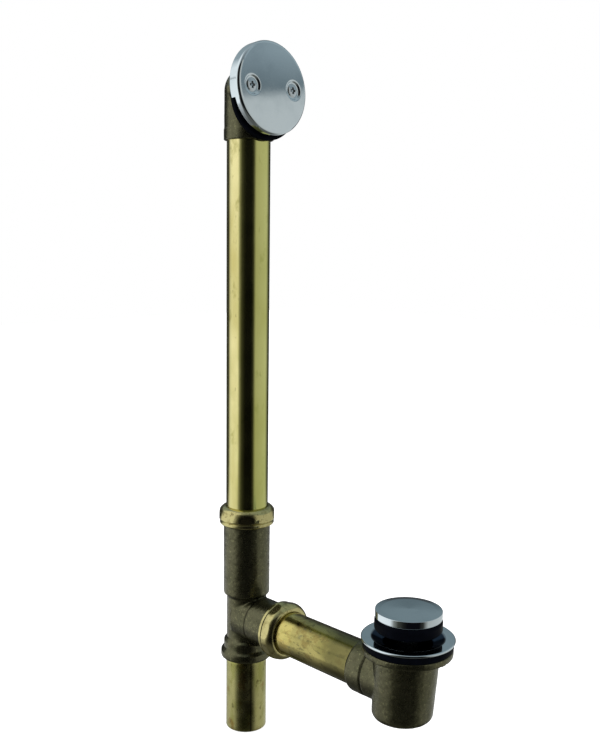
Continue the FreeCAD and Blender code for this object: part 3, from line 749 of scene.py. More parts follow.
def foot_of(node: str, axis: Axis) -> tuple[list[float], float, float]:
    """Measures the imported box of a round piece.

    Args:
        node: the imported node.
        axis: which way it lies.

    Returns:
        The middle of its low end in metres, and its radius and its length in millimetres.
    """
    low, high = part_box(node)
    side = 0 if axis is Axis.ALONG_ARM else 2
    foot = list((low + high) / 2)
    foot[side] = low[side]
    return foot, (high.y - low.y) / 2 / MM, (high[side] - low[side]) / MM


def mark_dirt_and_shade(mesh: bpy.types.Mesh, share: np.ndarray) -> None:
    """Writes each vertex's share of dark lines and painted shade into the mesh's darkening attribute.
    """
    layer = mesh.attributes.new("dirt_and_shade", "FLOAT", "POINT")
    layer.data.foreach_set("value", share.astype(np.float32))


@dataclass(frozen=True)
class Score:
    """A shallow line scored round a pipe that lies along X.

    Attributes:
        at_mm: where it is along X.
        radius_mm: the pipe's radius there.
        width_mm: the line's half width.
        depth_mm: how deep it is.
    """

    at_mm: float
    radius_mm: float
    width_mm: float = 0.75
    depth_mm: float = 0.35

    def share(self, points: np.ndarray) -> np.ndarray:
        """Gives 1 on the line and 0 away from it: a bell curve of the distance along X.

        Args:
            points: (n, 3) places in metres.

        Returns:
            One value for each point.
        """
        along = points[:, 0] / MM - self.at_mm
        out = np.hypot(points[:, 1], points[:, 2] + ARM_DROP) / MM - self.radius_mm
        return np.exp(-(along / self.width_mm) ** 2) * (np.abs(out) < 3.0)


@dataclass
class Casting:
    """A sand casting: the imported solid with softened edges, filled inner corners and a grainy skin.

    Attributes:
        node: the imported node.
        voxel_mm: size of the cells that the solid is rebuilt from.
        soften: rounds of smoothing.
        skin_mm: (cell size, height) of each layer of unevenness.
        scores: the lines scored into it.
    """

    node: str
    voxel_mm: float = 0.7
    soften: int = 5
    skin_mm: tuple[tuple[float, float], ...] = ((11.0, 0.14), (2.6, 0.08))
    scores: tuple[Score, ...] = ()

    def build(self, workshop: Workshop) -> bpy.types.Object:
        """Rebuilds the solid from voxels, smooths it and moves each point along its normal by noise.

        Args:
            workshop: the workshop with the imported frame.

        Returns:
            The casting.
        """
        piece = merged_copy(workshop, self.node, self.node + "_casting")
        remesh = piece.modifiers.new("Remesh", "REMESH")
        remesh.mode = "VOXEL"
        remesh.voxel_size = self.voxel_mm * MM
        smooth = piece.modifiers.new("Smooth", "SMOOTH")
        smooth.factor = 0.5
        smooth.iterations = self.soften
        settled(piece)
        mesh = piece.data
        count = len(mesh.vertices)
        points, normals = vertex_points(mesh), np.zeros(count * 3)
        mesh.vertices.foreach_get("normal", normals)
        normals = normals.reshape(-1, 3)
        lift = np.zeros(count)
        for seed, (cell, height) in enumerate(self.skin_mm):
            lift += lattice_noise(points, cell * MM, seed) * height * MM
        # Darker along the scored lines.
        score_darkening = np.zeros(count)
        for score in self.scores:
            share = score.share(points)
            lift -= share * score.depth_mm * MM
            score_darkening = np.maximum(score_darkening, share)
        mark_dirt_and_shade(mesh, score_darkening)
        mesh.vertices.foreach_set("co", (points + normals * lift[:, None]).ravel())
        mesh.shade_smooth()
        mesh.update()
        return piece


@dataclass
class Tube:
    """A length of drawn tube with eased ends and a faint unevenness.

    Attributes:
        node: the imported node.
        axis: which way it lies.
        wall_mm: its wall.
        ease_mm: the rounding of its cut ends.
        wave_mm: how far its surface wanders.
        seam_deg: the bearing of its weld line from +X, or None.
        spigot_mm: the length of its far end that is turned down for a socket.
        step_mm: how far that end is turned down.
    """

    node: str
    axis: Axis
    wall_mm: float = 1.3
    ease_mm: float = 0.35
    wave_mm: float = 0.05
    seam_deg: float | None = None
    spigot_mm: float = 0.0
    step_mm: float = 0.45

    def build(self) -> bpy.types.Object:
        """Turns the tube's wall, a ring, with points every few millimetres so that it can wander.

        Returns:
            The tube.
        """
        foot, radius, length = foot_of(self.node, self.axis)
        inner = radius - self.wall_mm
        corners = [(inner, 0, self.ease_mm), (radius, 0, self.ease_mm)]
        if self.spigot_mm:
            shoulder = length - self.spigot_mm
            corners += [(radius, shoulder, 0.1), (radius - self.step_mm, shoulder, 0.1),
                        (radius - self.step_mm, length, 0.2)]
        else:
            corners.append((radius, length, self.ease_mm))
        corners.append((inner, length, self.ease_mm))

        def wander(r: np.ndarray, h: np.ndarray, a: np.ndarray) -> tuple[np.ndarray, np.ndarray]:
            """Lowers the radius by two waves, 103 and 47 mm long, that also go round the tube."""
            wave = (np.sin(h * 61.0 + 1.3) * np.cos(a * 2 + 0.4)
                    + np.sin(h * 133.0) * np.cos(a * 3 + 2.0))
            return r - self.wave_mm * MM * (0.5 + 0.25 * wave), h

        surface = turned(corners, True, frame_of(self.axis, foot), steps=3, longest_mm=4.0,
                         segments=160, reshape=wander)
        piece = mesh_object(self.node + "_drawn", surface)
        if self.seam_deg is not None:
            points = vertex_points(piece.data)
            bearing = np.arctan2(points[:, 1] - foot[1], points[:, 0] - foot[0])
            away = np.abs(bearing - math.radians(self.seam_deg)) * radius
            mark_dirt_and_shade(piece.data, 0.9 * np.exp(-(away / 0.7) ** 2))
        return piece


@dataclass
class SlipNut:
    """A domed nut with a round lip, a groove and eight flats.

    Attributes:
        node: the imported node.
        axis: the way from its lip to its domed end.
        radius_mm: its largest radius.
        flat_mm: from the axis to a flat.
        crown_mm: how far its end is domed.
        lip_radius_mm: the radius of its round lip.
        lip_mm: the lip's length.
        groove_mm: the groove behind the lip, half its width and its depth.
        length_mm: its whole length.
        bore_mm: the radius of its threaded bore.
        hole_mm: the radius of the hole for the tube.
        shoulder_mm: the thickness of its end.
        flat_turn_deg: where the first flat faces.
    """

    node: str
    axis: Axis
    radius_mm: float = 26.35
    flat_mm: float = 25.5
    crown_mm: float = 8.2
    lip_radius_mm: float = 25.2
    lip_mm: float = 3.4
    groove_mm: float = 0.9
    length_mm: float = 16.7
    bore_mm: float = 22.9
    hole_mm: float = 19.65
    shoulder_mm: float = 3.0
    flat_turn_deg: float = 2.2

    def flatten(self, r: np.ndarray, h: np.ndarray, a: np.ndarray) -> tuple[np.ndarray, np.ndarray]:
        """Limits the radius to a flat's distance over the cosine of the angle from its middle.

        Args:
            r: the radii.
            h: the heights.
            a: the angles.

        Returns:
            The new radii and heights.
        """
        from_flat = (a - math.radians(self.flat_turn_deg) + math.pi / 8) % (math.pi / 4) - math.pi / 8
        limit = self.flat_mm * MM / np.cos(from_flat)
        soft = 0.35 * MM
        excess = r - limit
        cut = 0.5 * (excess + np.sqrt(excess ** 2 + 0.3 * soft ** 2))
        return r - np.where(excess > -soft, cut, 0.0), h

    def build(self) -> bpy.types.Object:
        """Turns the nut's section, with its crown a quarter ellipse, and presses the flats into it.

        Returns:
            The nut.
        """
        step = self.lip_mm + 2 * self.groove_mm
        inner = self.length_mm - self.shoulder_mm
        across = self.radius_mm - self.hole_mm - 0.5
        crown = [(self.radius_mm - across * (1 - math.cos(turn)),
                  self.length_mm - self.crown_mm * (1 - math.sin(turn)), 0.0)
                 for turn in np.linspace(0, math.pi / 2, 19)]
        corners = [
            (self.bore_mm, 0, 0.3), (self.lip_radius_mm, 0, 1.3),
            (self.lip_radius_mm, self.lip_mm, 1.0),
            (self.lip_radius_mm - self.groove_mm, self.lip_mm + self.groove_mm, 0.4),
            (self.radius_mm, step, 1.2), *crown, (self.hole_mm, self.length_mm, 0.3),
            (self.hole_mm, inner, 0.1), (self.bore_mm, inner, 0.1),
        ]
        foot = foot_of(self.node, self.axis)[0]
        surface = turned(corners, True, frame_of(self.axis, foot), steps=10, longest_mm=0.6,
                         segments=288, reshape=self.flatten)
        return mesh_object(self.node + "_turned", surface, 60.0)


@dataclass
class OverflowEnd:
    """The elbow, gasket, cover and screws at the top of the tall tube.

    Attributes:
        reach_mm: tube axis to the back of the cover, along the outlet.
        cover_round_mm: the rounding between its face and its rim.
        cover_lip_mm: from the face to the slot in its rim.
        slot_drop_mm: how far below the axis the slot starts.
        screw_side_mm: from the axis to a screw.
        dimple_mm: the radius of the dimple round a screw.
        dimple_floor_mm: the radius of its level floor.
        crown_mm: how far the face is crowned.
        gasket_drop_mm: how far the gasket's rim sags below its hole.
        cross_half_mm: half the width of an arm of a screw's cross.
        cross_reach_mm: half the cross's length.
        cross_soft_mm: over what length its edge is eased.
    """

    reach_mm: float = 21.2
    cover_radius_mm: float = 39.7
    cover_depth_mm: float = 10.8
    cover_wall_mm: float = 1.2
    cover_round_mm: float = 2.9
    cover_lip_mm: float = 6.3
    slot_drop_mm: float = 10.5
    screw_side_mm: float = 23.5
    dimple_mm: float = 8.8
    dimple_floor_mm: float = 6.6
    dimple_depth_mm: float = 1.6
    crown_mm: float = 0.35
    gasket_mm: float = 4.5
    gasket_drop_mm: float = 6.6
    gasket_hole_mm: float = 18.5
    gasket_radius_mm: float = 36.6
    screw_length_mm: float = 25.2
    shank_mm: float = 3.0
    head_mm: float = 6.2
    head_rise_mm: float = 1.5
    cross_half_mm: float = 0.75
    cross_reach_mm: float = 2.6
    cross_depth_mm: float = 1.4
    cross_soft_mm: float = 0.3

    def outlet(self, reach_mm: float = 0.0) -> np.ndarray:
        """Gives a placement on the outlet's axis, some way out from the tube's axis."""
        out = np.array([math.cos(FACE_TILT), 0, math.sin(FACE_TILT)]) * reach_mm * MM
        return frame_of(Axis.OUTLET, (out[0] - TEE_TO_DRAIN, 0.0, out[2] + OVERFLOW_HEIGHT))

    def press(self, r: np.ndarray, h: np.ndarray, a: np.ndarray) -> tuple[np.ndarray, np.ndarray]:
        """Presses two round dimples into the face and crowns it, by smoothstep of the distance.

        Args:
            r: the radii.
            h: the heights.
            a: the angles.

        Returns:
            The same radii and the new heights.
        """
        across, side = r * np.cos(a), r * np.sin(a)
        top = self.cover_depth_mm * MM
        crown = self.crown_mm * MM * (1 - (r / (self.cover_radius_mm * MM)) ** 2)
        rounding, slope = self.cover_round_mm * MM, (self.dimple_mm - self.dimple_floor_mm) * MM
        on_face = np.clip((h - (top - rounding)) / rounding, 0, 1)
        away = np.hypot(across, np.abs(side) - self.screw_side_mm * MM)
        share = np.clip((self.dimple_mm * MM - away) / slope, 0, 1)
        dent = share * share * (3 - 2 * share) * self.dimple_depth_mm * MM
        return r, h + on_face * (crown - dent)

    def build_cover(self) -> bpy.types.Object:
        """Makes the cover's outer skin from rim to centre, cuts its slot and gives it its wall.

        Returns:
            The cover.
        """
        face, matrix = self.cover_depth_mm, self.outlet(self.reach_mm)
        corners = [(self.cover_radius_mm, 0, 0), (self.cover_radius_mm, face, self.cover_round_mm),
                   (0, face, 0)]
        surface = turned(corners, False, matrix, steps=14, longest_mm=0.5, segments=320,
                         reshape=self.press)
        local = (surface.points - matrix[:3, 3]) @ matrix[:3, :3]
        middle = local[surface.faces].mean(axis=1)
        below = middle[:, 0] > self.slot_drop_mm * MM
        in_slot = below & (middle[:, 2] < (face - self.cover_lip_mm) * MM)
        cover = mesh_object("overflow_cover", Surface(surface.points, surface.faces[~in_slot]))
        wall = cover.modifiers.new("Wall", "SOLIDIFY")
        wall.thickness = self.cover_wall_mm * MM
        wall.offset = -1.0
        ease = cover.modifiers.new("Ease", "BEVEL")
        ease.width = 0.25 * MM
        ease.segments = 2
        ease.limit_method = "ANGLE"
        ease.angle_limit = math.radians(50)
        return settled(cover)

    def build_gasket(self) -> bpy.types.Object:
        """Turns the gasket's ring, with soft edges and an uneven rim, and lets the rim sag.

        Returns:
            The gasket.
        """
        hole, rim, thick = self.gasket_hole_mm, self.gasket_radius_mm, self.gasket_mm
        corners = [(hole, 0, 0.4), (rim, 0, 1.0), (rim, thick, 1.0), (hole, thick, 0.4)]

        def uneven(r: np.ndarray, h: np.ndarray, a: np.ndarray) -> tuple[np.ndarray, np.ndarray]:
            """Adds a slow wave to the outer edge."""
            outer = np.clip((r - hole * MM) / ((rim - hole) * MM), 0, 1)
            return r - outer * 0.2 * MM * (1 + np.sin(5 * a + 1.0) * np.sin(2 * a)), h

        matrix = self.outlet(self.reach_mm - thick)
        surface = turned(corners, True, matrix, steps=5, longest_mm=1.2, segments=160,
                         reshape=uneven)
        away = (surface.points - matrix[:3, 3]) @ matrix[:3, :3]
        outer = np.clip((np.hypot(away[:, 0], away[:, 1]) / MM - hole) / (rim - hole), 0, 1)
        surface.points += outer[:, None] * matrix[:3, 0] * self.gasket_drop_mm * MM
        return mesh_object("overflow_gasket_moulded", surface)

    def build_screw(self, side: int) -> bpy.types.Object:
        """Turns an oval-head screw and sinks a cross into its head.

        The cross is a drop of the head's surface where a point lies within half an arm's width of
        either arm's line, eased over a third of a millimetre.

        Args:
            side: -1 for the left screw, 1 for the right.

        Returns:
            The screw.
        """
        face = self.reach_mm + self.cover_depth_mm
        seat = face - self.dimple_depth_mm
        tip, shank = seat - self.screw_length_mm, self.shank_mm
        corners = [
            (0, tip, 0), (shank - 1.0, tip, 0.3), (shank, tip + 1.0, 0.3), (shank, seat - 3.2, 0.3),
            (self.head_mm, seat, 0.5), (self.head_mm - 1.8, seat + 0.7 * self.head_rise_mm, 3.0),
            (0, seat + self.head_rise_mm, 0)]
        reach, depth, pitch = self.cross_reach_mm * MM, self.cross_depth_mm * MM, 1.27 * MM

        def cross(x: np.ndarray, y: np.ndarray) -> np.ndarray:
            """Gives 1 inside the cross and 0 outside it, as the larger of its two arms.

            Args:
                x: distances along one arm, in metres.
                y: distances along the other.

            Returns:
                One value for each point.
            """
            along_x, across_x, along_y, across_y = (
                np.clip((limit - np.abs(way)) / (self.cross_soft_mm * MM) + 1, 0, 1)
                for way in (x, y) for limit in (reach, self.cross_half_mm * MM))
            return np.maximum(across_x * along_y, across_y * along_x)

        def sink(r: np.ndarray, h: np.ndarray, a: np.ndarray) -> tuple[np.ndarray, np.ndarray]:
            """Drops the head's surface inside the cross, and cuts a fine thread on the shank.

            Args:
                r: the radii.
                h: the heights.
                a: the angles.

            Returns:
                The new radii and heights.
            """
            fade = 1 - 0.45 * np.clip(r / reach, 0, 1)
            drop = cross(r * np.cos(a), r * np.sin(a)) * fade * depth
            thread = 0.18 * MM * (0.5 + 0.5 * np.cos(2 * math.pi * h / pitch - a))
            on_head = h > (seat + 0.1) * MM
            on_shank = (h < (seat - 4.0) * MM) & (r > (shank - 1.0) * MM)
            return np.where(on_shank, r - thread, r), np.where(on_head, h - drop, h)

        matrix = self.outlet()
        matrix[1, 3] += side * self.screw_side_mm * MM
        name = "cover_screw_left" if side < 0 else "cover_screw_right"
        surface = turned(corners, False, matrix, steps=8, longest_mm=0.22, segments=96, reshape=sink)
        screw = mesh_object(name, surface, 50.0)
        # Painted shade: the cross sunk into the head is marked dark.
        local = (vertex_points(screw.data) - matrix[:3, 3]) @ matrix[:3, :3]
        in_head = local[:, 2] > seat * MM - depth
        mark_dirt_and_shade(screw.data, 0.9 * cross(local[:, 0], local[:, 1]) * in_head)
        return screw

    def build(self, workshop: Workshop) -> None:
        """Builds and fits the pieces of the overflow's end.

        Args:
            workshop: where they are dressed and fitted.
        """
        elbow = Casting("overflow_elbow").build(workshop)
        workshop.fit(elbow, "overflow_elbow", CAST_BRASS)
        workshop.fit(self.build_gasket(), "overflow_gasket", RUBBER)
        workshop.fit(self.build_cover(), "overflow_faceplate", CHROME)
        workshop.fit(self.build_screw(-1), "faceplate_screw_left", CHROME_SCREW)
        workshop.fit(self.build_screw(1), "faceplate_screw_right", CHROME_SCREW)
        tube = Tube("overflow_tube", Axis.UP).build()
        workshop.fit(tube, "overflow_tube", DRAWN_BRASS)


@dataclass
class TeeGroup:
    """The tee with its slip nuts, washers and tailpiece."""

    tee: Casting = field(default_factory=lambda: Casting(
        "tee", voxel_mm=0.8, scores=(Score(-175.6, 21.5, depth_mm=0.25),)))
    weld_deg: float = -27.6

    def build(self, workshop: Workshop) -> None:
        """Builds and fits the tee's pieces.

        Args:
            workshop: where they are dressed and fitted.
        """
        workshop.fit(self.tee.build(workshop), "tee", CAST_BRASS)
        top = SlipNut("top_slip_nut", Axis.UP).build()
        workshop.fit(top, "top_slip_nut", TURNED_BRASS)
        side = SlipNut("side_slip_nut", Axis.ALONG_ARM, flat_turn_deg=27.5).build()
        workshop.fit(side, "side_slip_nut", TURNED_BRASS)
        tail = Tube("tailpiece", Axis.UP, seam_deg=self.weld_deg, spigot_mm=16.3).build()
        workshop.fit(tail, "tailpiece", TAIL_BRASS)
        workshop.dress("top_slip_washer", WASHER_RUBBER)
        workshop.dress("side_slip_washer", WASHER_RUBBER)


@dataclass
class DrainEnd:
    """The waste arm, shoe, gasket and chrome strainer.

    Attributes:
        flange_mm: the radius of the flange.
        edge_mm: the flange's thickness.
        dish_mm: the radius at which it starts to slope down.
        throat_mm: the radius at the foot of the slope, the barrel's bore.
        barrel_mm: the radius of the threaded barrel.
        bar_mm: the width of a bar of the cross.
        gasket_soft_mm: over what length the gasket's rim bulges.
    """

    flange_mm: float = 37.9
    edge_mm: float = 2.0
    dish_mm: float = 29.8
    dish_depth_mm: float = 4.6
    throat_mm: float = 19.6
    barrel_mm: float = 21.9
    barrel_length_mm: float = 27.0
    bar_mm: float = 4.0
    bar_height_mm: float = 5.0
    hub_mm: float = 8.5
    hub_hole_mm: float = 4.9
    pitch_mm: float = 2.2
    gasket_hole_mm: float = 30.05
    gasket_radius_mm: float = 36.8
    gasket_mm: float = 6.0
    gasket_soft_mm: float = 2.8

    def build_strainer(self) -> bpy.types.Object:
        """Turns the flange with its threaded barrel, and adds the cross and its hub.

        Returns:
            The strainer, with painted shade marked over its dish.
        """
        slope = self.dish_depth_mm / (self.dish_mm - self.throat_mm)
        under = -(self.dish_mm - self.barrel_mm) * slope
        foot = -self.barrel_length_mm
        corners = [
            (self.throat_mm, foot, 0.3), (self.barrel_mm, foot, 0.3), (self.barrel_mm, under, 0.5),
            (self.dish_mm, 0, 1.0), (self.flange_mm, 0, 0.6), (self.flange_mm, self.edge_mm, 0.95),
            (self.dish_mm, self.edge_mm, 2.4),
            (self.throat_mm, self.edge_mm - self.dish_depth_mm, 2.0),
        ]
        barrel, pitch = self.barrel_mm * MM, self.pitch_mm * MM

        def thread(r: np.ndarray, h: np.ndarray, a: np.ndarray) -> tuple[np.ndarray, np.ndarray]:
            """Cuts a thread into the barrel: a cosine of height less the turned angle.

            Args:
                r: the radii.
                h: the heights.
                a: the angles.

            Returns:
                The new radii and heights.
            """
            on_barrel = (r > barrel - 0.15 * MM) & (h < (under - 1.0) * MM)
            groove = 0.35 * MM * (1 + np.cos(2 * math.pi * h / pitch - a))
            return np.where(on_barrel, r - groove, r), h

        surface = turned(corners, True, AT_DRAIN, steps=8, longest_mm=0.45, segments=256,
                         reshape=thread)
        reach, half = self.throat_mm + 1.0, self.bar_mm / 2
        top = foot + self.bar_height_mm
        inner = self.hub_mm - 1.0
        for low, high in (((inner, -half), (reach, half)), ((-reach, -half), (-inner, half)),
                          ((-half, inner), (half, reach)), ((-half, -reach), (half, -inner))):
            surface = surface.joined_with(block((*low, foot), (*high, top)))
        hub = [(self.hub_hole_mm, foot, 0.2), (self.hub_mm, foot, 0.6), (self.hub_mm, top, 0.6),
               (self.hub_hole_mm, top, 0.2)]
        surface = surface.joined_with(
            turned(hub, True, AT_DRAIN, steps=4, longest_mm=9.0, segments=64))
        strainer = mesh_object("drain_strainer_plated", surface)
        # Painted shade: the dish inside the flange lies in the seal's shade and is marked dark.
        points = vertex_points(strainer.data)
        away = np.hypot(points[:, 0], points[:, 1]) / MM
        mark_dirt_and_shade(strainer.data, np.clip((self.dish_mm + 0.6 - away) / 1.8, 0, 1))
        return strainer

    def build_gasket(self) -> bpy.types.Object:
        """Turns the thick gasket, with a soft bulge where it is squeezed.

        Returns:
            The gasket.
        """
        hole, rim, foot = self.gasket_hole_mm, self.gasket_radius_mm, -self.gasket_mm
        soft, half = self.gasket_soft_mm, self.gasket_mm / 2 * MM

        def bulge(r: np.ndarray, h: np.ndarray, a: np.ndarray) -> tuple[np.ndarray, np.ndarray]:
            """Draws the outer edge in a little at its top and foot, and lets it wander.

            Args:
                r: the radii.
                h: the heights.
                a: the angles.

            Returns:
                The new radii and heights.
            """
            outer = np.clip((r - (rim - soft) * MM) / (soft * MM), 0, 1)
            wave = 0.12 * (1 + np.sin(3 * a + 0.5) * np.sin(7 * a))
            return r - outer * MM * (0.25 * ((h + half) / half) ** 2 + wave), h

        surface = turned([(hole, foot, 0.3), (rim, foot, 1.0), (rim, 0, 0.8), (hole, 0, 0.3)], True,
                         AT_DRAIN, steps=6, longest_mm=0.8, reshape=bulge)
        return mesh_object("shoe_gasket_moulded", surface)

    def build(self, workshop: Workshop) -> None:
        """Builds and fits the pieces of the drain's end.

        Args:
            workshop: where they are dressed and fitted.
        """
        shoe = Casting("drain_shoe", scores=(Score(-32.0, 21.8, 1.0, 0.6),)).build(workshop)
        workshop.fit(shoe, "drain_shoe", CAST_BRASS)
        workshop.fit(self.build_gasket(), "shoe_gasket", RUBBER)
        workshop.fit(self.build_strainer(), "drain_strainer", DRAIN_CHROME)
        arm = Tube("waste_arm", Axis.ALONG_ARM, wave_mm=0.08).build()
        workshop.fit(arm, "waste_arm", ARM_BRASS)


@dataclass
class Stopper:
    """The press-down stopper: cap, seal, retaining ring and its works.

    Heights, such as those that end in top, foot, roof, low or shoulder, are over the drain's seat.

    Attributes:
        cap_mm: the cap's radius.
        crown_mm: how far its top is crowned.
        edge_mm: the rounding of its rim.
        slope_mm: how far in from the rim the top's slope ends.
        slope_rise_mm: how far it has risen there.
        seal_tuck_mm: the seal's radius under the cap's rim.
        stroke_mm: how far the stopper goes down.
    """

    cap_mm: float = 26.94
    top_mm: float = 24.5
    crown_mm: float = 0.5
    rim_foot_mm: float = 18.5
    edge_mm: float = 0.4
    slope_mm: float = 5.0
    slope_rise_mm: float = 0.18
    boss_mm: float = 12.0
    boss_bore_mm: float = 9.0
    boss_foot_mm: float = 4.63
    roof_mm: float = 21.9
    seal_foot_mm: float = 5.83
    seal_foot_radius_mm: float = 21.0
    seal_mm: float = 27.4
    seal_low_mm: float = 8.72
    seal_shoulder_mm: float = 16.0
    seal_tuck_mm: float = 26.34
    stroke_mm: float = 7.5

    def build_cap(self) -> bpy.types.Object:
        """Turns the cap: crowned top, thin rounded edge, upright rim, and the boss under it.

        Returns:
            The cap.
        """
        corners = [
            (0, self.roof_mm, 0), (self.boss_bore_mm, self.roof_mm, 0.3),
            (self.boss_bore_mm, self.boss_foot_mm, 0.3), (self.boss_mm, self.boss_foot_mm, 0.3),
            (self.boss_mm, self.rim_foot_mm, 0.2), (self.cap_mm, self.rim_foot_mm, 0.5),
            (self.cap_mm, self.top_mm, self.edge_mm),
            (self.cap_mm - self.slope_mm, self.top_mm + self.slope_rise_mm, 8.0),
            (0, self.top_mm + self.crown_mm, 0),
        ]
        surface = turned(corners, False, AT_DRAIN, steps=10, longest_mm=0.6, segments=256)
        return mesh_object("stopper_cap_plated", surface)

    def build_seal(self) -> bpy.types.Object:
        """Turns the seal: an upright edge that rounds into a cone below.

        Returns:
            The seal.
        """
        inner = self.boss_mm + 0.05
        corners = [
            (inner, self.seal_foot_mm, 0.2), (self.seal_foot_radius_mm, self.seal_foot_mm, 0.8),
            (self.seal_mm, self.seal_low_mm, 1.8), (self.seal_mm, self.seal_shoulder_mm, 1.5),
            (self.seal_tuck_mm, self.rim_foot_mm, 0.2), (inner, self.rim_foot_mm, 0.1)]
        surface = turned(corners, True, AT_DRAIN, steps=8, longest_mm=0.7)
        return mesh_object("stopper_seal_moulded", surface)

    def build_spring(self, workshop: Workshop) -> bpy.types.Object:
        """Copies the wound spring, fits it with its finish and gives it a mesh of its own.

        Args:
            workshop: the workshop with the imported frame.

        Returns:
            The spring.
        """
        spring = merged_copy(workshop, "cartridge_spring", "cartridge_spring_wound")
        workshop.fit(spring, "cartridge_spring", SPRING_STEEL)
        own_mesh(spring)
        return spring

    def build(self, workshop: Workshop) -> None:
        """Builds and fits the stopper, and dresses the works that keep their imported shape.

        Args:
            workshop: where they are dressed and fitted.
        """
        workshop.fit(self.build_cap(), "stopper_cap", CHROME)
        workshop.fit(self.build_seal(), "stopper_seal", RUBBER)
        # The works under the seal get the plate darkened as painted shade.
        for node in ("plunger", "cartridge_body", "cartridge_collar"):
            workshop.dress(node, SHADED_PLATED_BRASS)
        self.build_spring(workshop)
        workshop.dress("seal_retainer", SPRING_STEEL)
        for node in ("plunger_o_ring", "cartridge_washer"):
            workshop.dress(node, WASHER_RUBBER)


